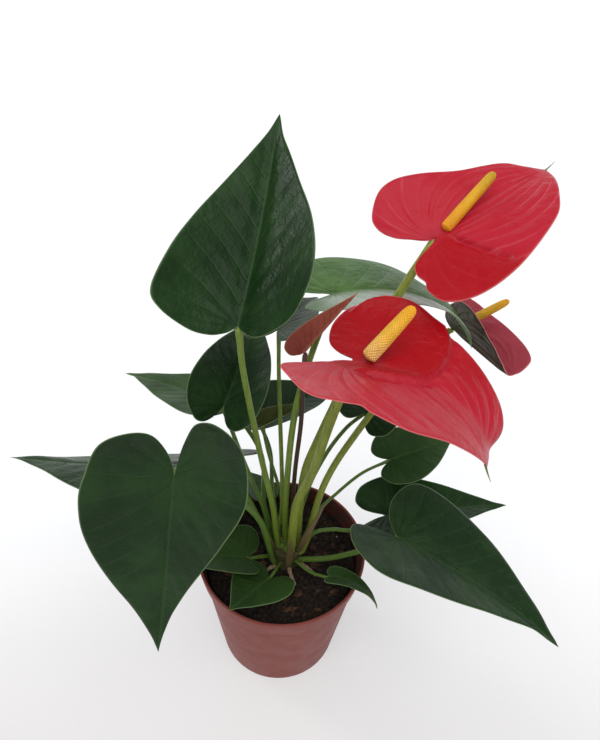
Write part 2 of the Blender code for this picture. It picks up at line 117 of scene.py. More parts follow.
LEAVES = {
    "upper_left": Blade((-22, -8, 257), 82, 24, -8, 110, (39, 46), (9, 10), -20, 6, 25, 14, 3, 14, 1),
    "front_left": Blade((-44, -52, 213), -106, -70, -11, 94, (35, 35), (40, 27), 7, -15, 11, 10, 16, 33, -7),
    "far_left": Blade((-46, 8, 153), 181, -9, 29, 108, (45, 43), (29, 29), -10, -5, -4, -6, 2, 0, 2),
    "mid_left": Blade((-37, 39, 169), 152, -6, 18, 75, (30, 30), (9, 14), 3, 2, 5, 2, 0, 5),
    "inner_left": Blade((-34, 20, 185), 77, 18, 14, 70, (26, 26), (18, 17), 15, 5, 22, 18, 0, 18),
    "back_centre": Blade((-18.4, 50, 149), 35, 1, -10, 64, (26, 26), (14, 14), 1, 0, 10, 10, 10, 0),
    "back_right": Blade((42, 32, 175), 66, 4, 20, 49, (20, 19), (12, 13), 24, 5, 8, 5),
    "round_right": Blade((64, 42, 127), 29, -1, 28, 53, (19.5, 21), (13, 14), 13, 4, 16, 13, 0, 12, -1),
    "right_back": Blade((61, 12, 111), 5, 12, -8, 71, (28, 28), (17, 20), 9, 1, 7, 4, 0, 2),
    "right_front": Blade((62, -18, 132), -28, -7, -11, 95, (40, 38), (13, 24), 4, 17, 14, -1, -5, 23, 2.5),
    "top_arched": Blade((19.4, 41.6, 244.7), 18, 6, -10, 100, (40, 27), (26, 18), 56, 22, 6, -1, 5, 9),
    "top_back": Blade((-7, 39, 223), 68, -1, -12, 51, (20, 20), (14, 13), 16, 4, 9, 5, 3, 3),
    "young_furled": Blade((6, 9, 232), 20, 51, -36, 38, (10, 10), (5, 5), 0, 0, 80, 4),
    "young_olive": Blade((-14, 25, 168), 20, 25, 10, 27, (8, 8), (5, 5), 12, 0, 30, 20),
    "basal_front": Blade((-7, -27, 98), 236, 18, 6, 34, (17, 19), (10, 9), -6, 0, 2, 2, -6, -6),
    "basal_right": Blade((29, -22, 97), -10, 14, -14, 36, (7, 7), (3, 3), 75, 18, 8, 4, 3),
    "basal_left": Blade((-20, -12, 96), 185, 12, 5, 42, (19, 19), (7, 7), 28, 5, 12, 11),
    "basal_back": Blade((-16, 33, 100), 124, 2, 22, 30, (12, 12), (8, 8), 25, 5, 8, 5),
}
# Each spathe's margin, along and across from where the peduncle joins it, left half and right half.
UPPER_SPATHE_MARGIN = (
    (
        (0, 0), (-3, 1.5), (-8, 6), (-14, 11), (-18, 18), (-16, 25), (-5, 34), (6, 36),
        (18, 32), (33, 24), (46, 19), (57, 14), (62, 7), (67, -1),
    ),
    (
        (0, 0), (-5, -3), (-11, -4), (-17, -7), (-20, -12), (-20, -17), (-23, -22), (-22, -31),
        (-12, -38), (4, -41), (20, -39), (39, -32), (51, -22), (60, -12), (67, -1),
    ),
)
LOWER_SPATHE_MARGIN = (
    (
        (0, 0), (-2, 3), (-8, 5), (-13, 10), (-15, 19), (-14, 28), (-9, 37), (3, 41),
        (15, 40), (26, 33), (37, 27), (52, 21), (65, 16), (71, 10), (71, -2), (69, -14),
    ),
    (
        (0, 0), (-6, -1), (-13, -7), (-18, -14), (-24, -24), (-18, -32), (-9, -41), (0, -44),
        (6, -43), (12, -40), (17, -43), (29, -41), (43, -31), (54, -24), (69, -14),
    ),
)
SIDE_SPATHE_MARGIN = (
    (
        (0, 0), (-6, 3), (-14, 10), (-17, 18), (-13, 22), (-5, 23), (4, 23), (16, 23),
        (29, 22), (39, 20), (46, 17), (49, 13), (50, 6), (48, 0),
    ),
    (
        (0, 0), (-4, -2), (-7, -5), (-5, -13), (1, -20), (7, -24), (15, -24), (22, -21),
        (28, -17), (34, -12), (40, -6), (48, 0),
    ),
)
SPATHE_MARGINS = {
    "upper": UPPER_SPATHE_MARGIN,
    "lower": LOWER_SPATHE_MARGIN,
    "side": SIDE_SPATHE_MARGIN,
}
SPATHES = {
    "upper": Blade((61, 32, 282), 33, 25, 11, 68, (37, 40), (18, 22), 12, 8, 6, 5, -13, 15, -2),
    "lower": Blade((26.2, -21.1, 252.7), -16, 10, -6, 77, (41, 43), (17, 25), 60, 26, 10, 3, 12, 18),
    "side": Blade((92.7, 80.9, 200.3), -60, 0, -30, 48, (22, 24), (16, 7), 0, 0, 50, 0),
}

# A spadix stands on its spathe. Offset is from the spathe's base along its midrib and above it.
Spadix = namedtuple("Spadix", "offset heading pitch length radius")
SPADICES = {
    "upper": Spadix((6, 3.4), 40, 36, 34, 2.5),
    "lower": Spadix((6, 4.0), 34, 41, 28, 3.0),
    "side": Spadix((7, 9), 2, 38, 25, 2.4),
}

# A stem rises from the crown at a bearing, a distance from its axis and a height, through its way
# points, to just under its blade.
Stem = namedtuple("Stem", "bearing reach height way radii")
LOW, HIGH = 90.0, 98.0
PETIOLES = {
    "upper_left": Stem(190, 5.5, HIGH, ((-6, -3, 133), (-13, -4, 177), (-20, -7, 230)), (1.9, 1.4)),
    "front_left": Stem(225, 10.5, LOW, ((-11, -17, 136), (-25, -31, 178), (-37, -42, 207)), (1.8, 1.4)),
    "far_left": Stem(172, 10.5, LOW, ((-14, 1, 116), (-27, 5, 142)), (1.6, 1.2)),
    "mid_left": Stem(136, 10.5, LOW, ((-12, 13, 118), (-13.5, 20, 146), (-24, 28, 163)), (1.5, 1.1)),
    "inner_left": Stem(156, 10.5, LOW, ((-11, 5, 118), (-23, 12, 151)), (1.5, 1.1)),
    "back_centre": Stem(114, 10.5, LOW, ((-7, 16, 120), (-10, 34, 137)), (1.4, 1.1)),
    "back_right": Stem(50, 5.5, HIGH, ((13, 10, 132), (22, 19, 153), (32, 27, 166)), (1.4, 1.0)),
    "round_right": Stem(38, 10.5, LOW, ((20, 13, 108), (31, 22, 116), (46, 33, 123)), (1.1, 0.9)),
    "right_back": Stem(22, 10.5, LOW, ((19, 4, 101), (30, 7, 101), (43, 9, 99)), (1.3, 1.1)),
    "right_front": Stem(-22, 10.5, 88, ((27, -9, 95), (43, -13, 109)), (1.8, 1.4)),
    "top_arched": Stem(110, 3.0, HIGH, ((1, 2, 130), (3, 7, 187), (8.5, 15, 219)), (1.9, 1.5)),
    "top_back": Stem(135, 8.0, HIGH, ((-1, 7, 125), (-4, 21, 173), (-6, 31, 200)), (1.4, 1.0)),
    "young_furled": Stem(75, 7.5, HIGH, ((5.3, 5, 151), (7, 6.5, 189), (6.7, 8, 216)), (1.3, 1.1)),
    "young_olive": Stem(98, 10.5, LOW, ((-2, 13, 122), (-10, 20, 150)), (1.1, 0.9)),
    "basal_front": Stem(248, 10.5, LOW, ((-3, -19, 94),), (1.0, 0.8)),
    "basal_right": Stem(-48, 10.5, LOW, ((18, -17, 92),), (1.0, 0.8)),
    "basal_left": Stem(196, 10.5, 88, ((-13, -8, 91),), (1.2, 1.0)),
    "basal_back": Stem(128, 10.5, 87, ((-9, 18, 92),), (1.0, 0.9)),
}
PEDUNCLES = {
    "upper": Stem(
        15, 6.0, HIGH, ((10, 3, 149), (17, 9, 177), (37, 17, 239), (47, 20.5, 258), (54, 26, 270)), (2.3, 1.9)
    ),
    "lower": Stem(-60, 5.0, HIGH, ((7, -7, 139), (14, -11, 171), (19.6, -16, 210)), (2.6, 2.1)),
    "side": Stem(-4, 10.2, 96, ((22, 6, 143), (38, 18, 174), (66.5, 51.6, 193.7)), (2.1, 1.7)),
}
SHEATHS = {
    "front": Stem(-82, 10.6, LOW, ((5, -13, 103), (6, -14, 118)), (1.6, 0.4)),
    "right": Stem(-34, 8.4, HIGH, ((15, -7, 116), (23, -4, 139)), (1.6, 0.4)),
    "left": Stem(208, 8.6, HIGH - 1, ((-7, -8, 108), (-9, -9, 122)), (1.5, 0.4)),
}
ROOTS = {
    "front": Stem(282, 10.2, 88, ((6, -16, 88), (9, -22, 86)), (1.5, 0.9)),
    "front_left": Stem(240, 10.2, 87, ((-6, -13, 88), (-11, -18, 87)), (1.4, 0.9)),
    "right": Stem(-35, 10.2, 87, ((16, -11, 87), (21, -15, 86)), (1.3, 0.8)),
    "back": Stem(80, 10.2, 87, ((5, 13, 88), (6, 19, 86)), (1.3, 0.8)),
}


# ---- sheets: the CAD blades, repeated


def smooth_path(points, count):
    """Catmull-Rom curve through the points, read at evenly spaced parameters."""
    points = np.asarray(points, float)
    points = np.vstack([2 * points[0] - points[1], points, 2 * points[-1] - points[-2]])
    spans = len(points) - 3
    reached = np.linspace(0, spans, count)
    span = np.minimum(reached.astype(int), spans - 1)
    u = (reached - span)[:, None]
    a, b, c, d = (points[span + step] for step in range(4))
    steady = 2 * b + (c - a) * u
    turning = (2 * a - 5 * b + 4 * c - d) * u * u + (3 * b - a - 3 * c + d) * u**3
    return 0.5 * (steady + turning)


def pointing(heading, pitch):
    """The unit vector at a heading from +X and a pitch above the level, both in degrees."""
    turn, rise = math.radians(heading), math.radians(pitch)
    return np.array([math.cos(turn) * math.cos(rise), math.sin(turn) * math.cos(rise), math.sin(rise)])


def heart_margin(blade, steps):
    """The closed margin of a heart-shaped blade in its flat sheet, from the sinus round to it."""
    halves = []
    for width, lobe, side in zip(blade.widths, blade.lobes, (1, -1)):
        halves.append(
            [
                (along * (blade.length if along > 0 else lobe), side * across * width)
                for along, across in HEART_HALF
            ]
        )
    margin = drawn_margin(halves, steps)
    ahead = np.clip(margin[:, 0] / blade.length, 0, 1)
    margin[:, 1] += blade.skew * np.sin(ahead * math.pi)
    return margin


def drawn_margin(halves, steps):
    """The closed margin through the points of its left and right halves."""
    left, right = (smooth_path(points, steps + 1) for points in halves)
    return np.vstack([left, right[-2:0:-1]])


def blade_axes(blade):
    """Unit vectors along the blade, to its left and out of its upper face."""
    along = pointing(blade.heading, blade.pitch)
    level = pointing(blade.heading + 90, 0)
    upward = np.cross(along, level)
    roll = math.radians(blade.roll)
    left = level * math.cos(roll) + upward * math.sin(roll)
    return along, left, np.cross(along, left)


def bent_sheet(blade, flat):
    """Carries points of the flat sheet on to the bent blade."""
    bend, hook, fold, cup, twist, droop = np.radians(
        [blade.bend, blade.hook, blade.fold, blade.cup, blade.twist, blade.droop]
    )
    stations = np.linspace(-0.6, 1.1, 171)
    ahead = bend * stations + hook * np.clip(stations, 0, None) ** 3
    turn = np.where(stations > 0, ahead, -droop * stations / 0.3)
    step = stations[1] - stations[0]
    start = np.argmin(abs(stations))
    forward = np.concatenate([[0], np.cumsum((np.cos(turn[1:]) + np.cos(turn[:-1])) / 2 * step)])
    fall = np.concatenate([[0], np.cumsum((np.sin(turn[1:]) + np.sin(turn[:-1])) / 2 * step)])
    along = flat[:, 0] / blade.length
    across = flat[:, 1] / blade.length
    width = sum(blade.widths) / 2 / blade.length
    distance = np.abs(across)
    rise = fold * np.sqrt(np.clip(distance / (0.15 * width), 0, 1)) + cup * distance / width
    side = across * np.cos(rise)
    lift = distance * np.sin(rise)
    turned = twist * along
    side, lift = (
        side * np.cos(turned) - lift * np.sin(turned),
        side * np.sin(turned) + lift * np.cos(turned),
    )
    slope = np.interp(along, stations, turn)
    x = np.interp(along, stations, forward - forward[start]) + lift * np.sin(slope)
    z = np.interp(along, stations, fall[start] - fall) + lift * np.cos(slope)
    local = blade.length * np.stack([x, side, z], axis=1)
    return np.array(blade.base, float) + local @ np.array(blade_axes(blade))


def sheet_normals(blade, flat):
    """Unit vectors out of the upper face at points of the flat sheet."""
    reach = 0.01 * blade.length
    along = bent_sheet(blade, flat + (reach, 0)) - bent_sheet(blade, flat - (reach, 0))
    across = bent_sheet(blade, flat + (0, reach)) - bent_sheet(blade, flat - (0, reach))
    normals = np.cross(along, across)
    return normals / np.linalg.norm(normals, axis=1)[:, None]


# ---- fine relief of leaves and spathes

# Points of a sheet: flat places, ring from 0 at the hub to 1 at the margin, turn round the margin
# from 0 to 1, and edge, the way in from the margin in millimetres.
Grid = namedtuple("Grid", "flat ring turn edge")

# What a sheet's surface is at those points: lift of both faces, dip of the upper and rib of the lower face,
# the vein coordinate, which is a whole number on each main vein, and a share from 0 to 1 of painted grey
# sheen on a leaf and of a spathe's paler tint with painted pink sheen.
Relief = namedtuple("Relief", "lift dip rib vein bloom")

# How much painted grey sheen lies on the right half of a leaf, by the leaf's place in the table.
LEAF_PAINTED_SHEEN = {list(LEAVES).index("top_arched"): 0.85}
LEAF_VEINS = 8.5
BASAL_VEIN_ANGLE = math.radians(24)
SPATHE_VEIN_ANGLE = math.radians(15)


def smoothstep(low, high, value):
    u = np.clip((value - low) / (high - low), 0, 1)
    return u * u * (3 - 2 * u)


def bump(distance, width):
    return np.exp(-((distance / width) ** 2))


def sheet_grid(blade, margin, rings):
    """Rings shrink from the margin to a hub on the midrib, closer together near the margin."""
    hub = np.array([0.06 * blade.length, 0.0])
    count = len(margin)
    ring = np.linspace(0, 1, rings + 1)[1:] ** 0.85
    spokes = margin - hub
    flat = np.vstack([hub[None], (hub + ring[:, None, None] * spokes).reshape(-1, 2)])
    turn = np.concatenate([[0], np.tile(np.arange(count) / count, rings)])
    inward = (1 - ring[:, None]) * np.linalg.norm(spokes, axis=1)
    edge = np.concatenate([[np.linalg.norm(spokes, axis=1).min()], inward.reshape(-1)])
    return Grid(flat, np.concatenate([[0], np.repeat(ring, count)]), turn, edge)


def leaf_veins(blade, flat):
    """Side veins leave the midrib at even steps and curve forward, and fan out into the lobes."""
    width = np.where(flat[:, 1] > 0, *blade.widths)
    outward = np.abs(flat[:, 1]) / width
    advance = 0.42 * outward * (1 - 0.35 * outward)
    ahead = flat[:, 0] / blade.length - advance
    limit = np.arctan2(outward * width, advance * blade.length + 1e-9)
    angle = np.arctan2(np.abs(flat[:, 1]), flat[:, 0])
    vein = np.where(ahead >= 0, LEAF_VEINS * ahead, (limit - angle) / BASAL_VEIN_ANGLE)
    return vein + 0.35 * np.sign(flat[:, 1]) * smoothstep(0, 0.05, outward)


def ripples(grid, seed):
    """A few uneven waves that grow towards the margin."""
    phases = np.random.default_rng(seed).uniform(0, 2 * math.pi, 4)
    waves = sum(
        np.sin(2 * math.pi * count * grid.turn + phase) / count**0.5
        for count, phase in zip((3, 5, 8, 13), phases)
    )
    return waves * grid.ring**5


def leaf_relief(blade, grid, seed):
    """Quilted between the veins, with a sunken midrib above and a rib below it."""
    vein = leaf_veins(blade, grid.flat)
    across = np.abs(grid.flat[:, 1])
    size = blade.length / 100
    inside = smoothstep(1, 9 * size, grid.edge) * smoothstep(0.5, 5 * size, across)
    quilt = 0.32 * size * (0.5 - 0.5 * np.cos(2 * math.pi * vein)) * inside
    lift = quilt + 0.7 * size * ripples(grid, seed)
    ahead = np.clip(grid.flat[:, 0] / blade.length, 0, 1)
    dip = 0.35 * size * bump(across, 1.0 * size)
    rib = (1.1 - 0.8 * ahead) * size * bump(across, 1.1 * size)
    rib += 0.12 * size * np.clip(np.cos(2 * math.pi * vein), 0, 1) ** 6 * inside
    # Painted grey sheen on the right half of a leaf, as strong as its table entry.
    right_half = smoothstep(-1, -9, grid.flat[:, 1]) * smoothstep(-25, 5, grid.flat[:, 0])
    bloom = LEAF_PAINTED_SHEEN.get(seed, 0.0) * right_half
    return Relief(lift, dip, rib, vein, bloom)


def spathe_veins(tip, flat):
    """Veins run in arcs from the base to the tip."""
    to_base = -flat
    to_tip = tip - flat
    cross = to_base[:, 0] * to_tip[:, 1] - to_base[:, 1] * to_tip[:, 0]
    dot = (to_base * to_tip).sum(axis=1)
    return (math.pi - np.abs(np.arctan2(cross, dot))) / SPATHE_VEIN_ANGLE * -np.sign(cross)


def spathe_relief(blade, grid, seed, tip):
    """Pillowed between its veins, with its own folds on top."""
    vein = spathe_veins(tip, grid.flat)
    inside = smoothstep(0.5, 8, grid.edge) * smoothstep(2, 12, np.hypot(*grid.flat.T))
    pillow = 0.5 - 0.5 * np.cos(2 * math.pi * vein)
    uneven = 0.5 + 0.5 * np.sin(1.7 * vein + 0.11 * grid.flat[:, 0] + seed)
    lift = 0.5 * pillow * uneven * inside + 0.45 * ripples(grid, seed)
    rib = 0.5 * bump(np.abs(grid.flat[:, 1]), 1.2) * inside
    # All of the spathe takes the paler tint with painted pink sheen.
    return Relief(lift, np.zeros(len(vein)), rib, vein, np.ones(len(vein)))


def upper_spathe(blade, grid, seed, tip):
    """A crease runs out from under the spadix. The lobe behind it is the deeper red, and the rest has the
    paler tint with painted pink sheen.
    """
    relief = spathe_relief(blade, grid, seed, tip)
    along, across = grid.flat.T
    crease_at = 5.0 + 0.16 * np.clip(-across, 0, 40)
    behind = along - crease_at
    started = smoothstep(2, 9, -across)
    lift = relief.lift - 2.1 * bump(behind, 1.7) * started * smoothstep(0, 10, grid.edge)
    bloom = 1 - 0.85 * smoothstep(3, -3, behind) * smoothstep(0, 5, -across)
    return relief._replace(lift=lift, bloom=bloom)


# Two families of spirals cross on a spadix: how many of each, and how they turn to the millimetre.
SPIRALS = (13, 15)
SPIRAL_SLANTS = (4.1, 3.9)

# How far a spadix stands lower than its CAD solid, which is clear of the spathe.
SPADIX_LET_DOWN = {"upper": 2.2, "lower": 2.2, "side": 0.0}

# The lower spathe's bowl: centre and radii of its rim in the flat sheet.
BOWL_CENTRE = (10.0, 16.0)
BOWL_RADII = (24.0, 26.0)
BOWL_RIM = 3.4
# The painted highlight along the bowl's rim lies at this many rim radii.
RIM_HIGHLIGHT_REACH = 1.03


def lower_spathe(blade, grid, seed, tip):
    """The far lobe is a smooth dished bowl, whose rim stands over the rest of the blade. Outside the bowl the
    blade has the paler tint with painted pink sheen, a painted highlight along the rim and a patch of painted
    shade ahead of the bowl.
    """
    relief = spathe_relief(blade, grid, seed, tip)
    along, across = grid.flat.T
    reach = np.hypot((along - BOWL_CENTRE[0]) / BOWL_RADII[0], (across - BOWL_CENTRE[1]) / BOWL_RADII[1])
    inside = smoothstep(1.05, 0.99, reach)
    rim = smoothstep(0, 12, along + 0.4 * np.clip(across, 0, 40))
    dish = (BOWL_RIM * np.clip(reach, 0, 1) ** 3 - 1.2) * rim
    crease = 0.9 * bump(reach - 1.1, 0.06) * rim
    lift = inside * dish + (1 - inside) * (relief.lift - crease)
    # A patch of painted shade on the blade ahead of the bowl.
    shaded = 0.75 * bump(along - 44, 16) * bump(across - 20, 15)
    bloom = (1 - inside) * smoothstep(0.98, 1.12, reach) * (1 - shaded)
    # A painted highlight along the rim, drawn as a pale vein line.
    rim_highlight = bump(reach - RIM_HIGHLIGHT_REACH, 0.018) * rim * smoothstep(0, 8, along)
    vein = np.where(reach < RIM_HIGHLIGHT_REACH - 0.01, 0.5, relief.vein)
    vein = np.where(np.abs(reach - RIM_HIGHLIGHT_REACH) < 0.03, 0.5 - 0.5 * rim_highlight, vein)
    bloom = np.clip(bloom + rim_highlight, 0, 1)
    return relief._replace(lift=lift, bloom=bloom, vein=vein)


# Spikes at the tips: length, radius and lean.
SPIKES = {"upper": (7.0, 0.45, (0.3, 0.2, 0.5)), "lower": (8.0, 0.55, (0.1, 0.0, -0.35))}

SPATHE_RELIEFS = {"upper": upper_spathe, "lower": lower_spathe, "side": spathe_relief}


# ---- meshes


def mesh_object(name, points, faces, finishes, indices=None):
    """A smooth-shaded object from points in millimetres."""
    mesh = bpy.data.meshes.new(name)
    mesh.from_pydata((np.asarray(points, float) * MM).tolist(), [], faces)
    mesh.shade_smooth()
    for finish in finishes:
        mesh.materials.append(finish)
    if indices is not None:
        mesh.polygons.foreach_set("material_index", np.asarray(indices, np.int32))
    made = bpy.data.objects.new(name, mesh)
    bpy.context.scene.collection.objects.link(made)
    return made


def store(made, name, values):
    layer = made.data.attributes.new(name, "FLOAT", "POINT")
    layer.data.foreach_set("value", np.asarray(values, np.float32))


def place(made, node):
    """The piece stands for its CAD node and moves with the plant."""
    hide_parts(node)
    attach(made, "root")


def ring_quads(low, high, sides):
    """Quads between two rings of points, from the index of the first point of each."""
    step = np.arange(sides)
    following = (step + 1) % sides
    return np.stack([low + step, low + following, high + following, high + step], axis=1).tolist()


def body_faces(rings, sides):
    """Faces of a closed body: point 0 is its foot, its rings of points follow, and its top is last."""
    ends = [(step, (step + 1) % sides) for step in range(sides)]
    faces = [(0, 1 + b, 1 + a) for a, b in ends]
    last = 1 + (rings - 1) * sides
    for low in range(1, last, sides):
        faces.extend(ring_quads(low, low + sides, sides))
    return faces + [(last + a, last + b, last + sides) for a, b in ends]


def build_sheet(name, blade, grid, relief, thickness, finishes):
    """A closed sheet whose faces are half its thickness, thinner at the margin, off the middle."""
    middle = bent_sheet(blade, grid.flat)
    normals = sheet_normals(blade, grid.flat)
    half = thickness / 2 * (0.35 + 0.65 * smoothstep(0, 1.5, grid.edge))
    upper = middle + normals * (relief.lift - relief.dip + half)[:, None]
    lower = middle + normals * (relief.lift - relief.rib - half)[:, None]
    under = len(grid.flat)
    count = int(np.sum(grid.ring == 1.0))
    faces = body_faces((under - 1) // count, count)[:-count]
    turned = [[under + corner for corner in reversed(face)] for face in faces]
    rim = ring_quads(under - count, 2 * under - count, count)
    indices = [0] * len(faces) + [1] * len(turned) + [0] * count
    made = mesh_object(name, np.vstack([upper, lower]), faces + turned + rim, finishes, indices)
    across = np.abs(grid.flat[:, 1])
    for key, values in (
        ("edge", grid.edge), ("across", across), ("vein", relief.vein), ("bloom", relief.bloom)
    ):
        store(made, key, np.tile(values, 2))
    return made


def add_spike(made, blade, tip, length, radius, lean):
    """A thin green spike goes on from the tip of a spathe. Its vertices join the sheet's mesh."""
    root = bent_sheet(blade, tip[None] * 0.985)[0]
    ahead = bent_sheet(blade, tip[None])[0] - root
    ahead = ahead / np.linalg.norm(ahead) + np.array(lean)
    ahead /= np.linalg.norm(ahead)
    side = np.cross(ahead, (0.0, 0.0, 1.0))
    side /= np.linalg.norm(side)
    up = np.cross(side, ahead)
    points = [root]
    for share in np.linspace(0, 1, SPIKE_RINGS):
        middle = root + ahead * length * share + up * 0.12 * length * share**2
        wide = radius * (1 - 0.85 * share)
        for turn in np.arange(SPIKE_SIDES) / SPIKE_SIDES * 2 * math.pi:
            points.append(middle + wide * (math.cos(turn) * side + math.sin(turn) * up))
    points.append(middle)
    shape = bmesh.new()
    shape.from_mesh(made.data)
    corners = [shape.verts.new(Vector(point) * MM) for point in points]
    faces = [
        shape.faces.new([corners[index] for index in face])
        for face in body_faces(SPIKE_RINGS, SPIKE_SIDES)
    ]
    for face in faces:
        face.material_index = 2
        face.smooth = True
    bmesh.ops.recalc_face_normals(shape, faces=faces)
    shape.to_mesh(made.data)
    shape.free()


def crown_point(stem):
    turn = math.radians(stem.bearing)
    x = CROWN_CENTRE[0] + stem.reach * math.cos(turn)
    y = CROWN_CENTRE[1] + stem.reach * math.sin(turn)
    return (x, y, stem.height)


def build_tube(name, path, radii, finishes, grooves=0.0, squash=1.0):
    """A tube along a path, ringed by frames that don't spin, with closed rounded ends."""
    path = np.asarray(path, float)
    tangents = np.gradient(path, axis=0)
    tangents /= np.linalg.norm(tangents, axis=1)[:, None]
    side = np.cross(tangents[0], (0.0, 0.0, 1.0) if abs(tangents[0][2]) < 0.9 else (0.0, 1.0, 0.0))
    angles = np.arange(STEM_SIDES) / STEM_SIDES * 2 * math.pi
    points = [path[:1] - tangents[0] * radii[0] * 0.4]
    for middle, tangent, radius in zip(path, tangents, radii):
        side = side - tangent * side.dot(tangent)
        side /= np.linalg.norm(side)
        up = np.cross(tangent, side)
        wall = radius * (1 - grooves * np.clip(np.cos(angles - math.pi / 2), 0, 1) ** 8)
        ring = np.outer(wall * np.cos(angles), side) + np.outer(squash * wall * np.sin(angles), up)
        points.append(middle + ring)
    points.append(path[-1:] + tangents[-1] * radii[-1] * 0.4)
    made = mesh_object(name, np.vstack(points), body_faces(len(path), STEM_SIDES), finishes)
    along = np.repeat(np.linspace(0, 1, len(path)), STEM_SIDES)
    store(made, "along", np.concatenate([[0.0], along, [1.0]]))
    return made


def build_stem(name, stem, blade, thickness, finish):
    """A petiole or a peduncle: flared at its foot, thickened under its blade and let into it."""
    along, _, upward = blade_axes(blade)
    clear = thickness / 2 + 0.3 + stem.radii[1]
    under = np.array(blade.base, float) - upward * clear - along * 0.5
    foot = np.array(crown_point(stem))
    inside = foot + 0.6 * (np.array((*CROWN_CENTRE, stem.height - 5.0)) - foot)
    path = smooth_path([tuple(inside), tuple(foot), *stem.way, tuple(under)], STEM_STEPS)
    last = path[-1] + along * 1.2 * stem.radii[1] + upward * 0.8 * stem.radii[1]
    path = np.vstack([path, last])
    share = np.linspace(0, 1, len(path))
    radii = stem.radii[0] + (stem.radii[1] - stem.radii[0]) * share
    radii *= 1 + 0.45 * bump(share, 0.08) + 0.22 * bump(share - 0.97, 0.05)
    radii[-1] *= 0.6
    return build_tube(name, path, radii, [finish], grooves=0.12)


def build_spadix(name, blade, spadix, let_down, knobs, finish):
    """Florets stand where two families of spirals cross, on a tapered and rounded axis."""
    along, _, upward = blade_axes(blade)
    stands = spadix.offset[1] - let_down
    foot = np.array(blade.base, float) + along * spadix.offset[0] + upward * stands
    axis = pointing(spadix.heading, spadix.pitch)
    side = np.cross(axis, (0.0, 0.0, 1.0))
    side /= np.linalg.norm(side)
    up = np.cross(side, axis)
    r, length = spadix.radius, spadix.length
    outline = [
        (0, 0.4 * r), (0.6, 0.8 * r), (2.0, r), (0.35 * length, r), (0.75 * length, 0.92 * r),
        (length - 3.2, 0.82 * r), (length - 1.0, 0.56 * r), (length, 0.05),
    ]
    heights, radii = smooth_path(outline, SPADIX_RINGS).T
    angles = np.arange(SPADIX_SIDES) / SPADIX_SIDES * 2 * math.pi
    z, turn = np.meshgrid(heights, angles, indexing="ij")
    first = 0.5 + 0.5 * np.cos(SPIRALS[0] * turn + SPIRAL_SLANTS[0] * z)
    second = 0.5 + 0.5 * np.cos(SPIRALS[1] * turn - SPIRAL_SLANTS[1] * z)
    floret = (first * second) ** 0.45
    share = z / length
    proud = (knobs + (0.22 - knobs) * smoothstep(0.1, 0.85, share)) * smoothstep(0, 0.05, share)
    wall = radii[:, None] + proud * (floret - 0.4)
    wall *= smoothstep(1.003, 0.985, share) * 0.35 + 0.65
    points = z[..., None] * axis + (wall * np.cos(turn))[..., None] * side
    points = points + (wall * np.sin(turn))[..., None] * up
    points = foot + np.vstack([-0.2 * axis, points.reshape(-1, 3), (length + 0.1) * axis])
    made = mesh_object(name, points, body_faces(SPADIX_RINGS, SPADIX_SIDES), [finish])
    for key, values in (("along", share), ("floret", floret)):
        store(made, key, np.concatenate([[0.0], values.reshape(-1), [1.0]]))
    return made


def lathe(name, profile, segments, finishes, centre=(0.0, 0.0), wobble=None):
    """A body turned about a vertical axis, from the axis at the bottom up the outside to the top."""
    angles = np.arange(segments) / segments * 2 * math.pi
    points = [np.array([[0, 0, profile[0][1]]])]
    for radius, height in profile[1:-1]:
        points.append(
            np.stack([radius * np.cos(angles), radius * np.sin(angles), np.full(segments, height)], axis=1)
        )
    points = np.vstack([*points, [(0, 0, profile[-1][1])]])
    if wobble is not None:
        points += np.array([wobble(Vector(point)) for point in points])
    points[:, :2] += centre
    return mesh_object(name, points, body_faces(len(profile) - 2, segments), finishes)


def fine_profile(corners, step):
    """The profile with its long straight runs cut into steps."""
    fine = [corners[0]]
    for start, end in zip(corners, corners[1:]):
        cuts = max(1, round(math.dist(start, end) / step))
        for cut in range(1, cuts + 1):
            share = cut / cuts
            fine.append((start[0] + (end[0] - start[0]) * share, start[1] + (end[1] - start[1]) * share))
    return fine


# ---- materials


def add_node(tree, kind, sockets=(), **settings):
    """A shader node whose sockets take values or other nodes' outputs."""
    made = tree.nodes.new("ShaderNode" + kind)
    for key, value in settings.items():
        setattr(made, key, value)
    for key, value in dict(sockets).items():
        if isinstance(value, bpy.types.NodeSocket):
            tree.links.new(value, made.inputs[key])
        else:
            made.inputs[key].default_value = value
    return made


def colour(value):
    return value if isinstance(value, bpy.types.NodeSocket) else (*value, 1.0)


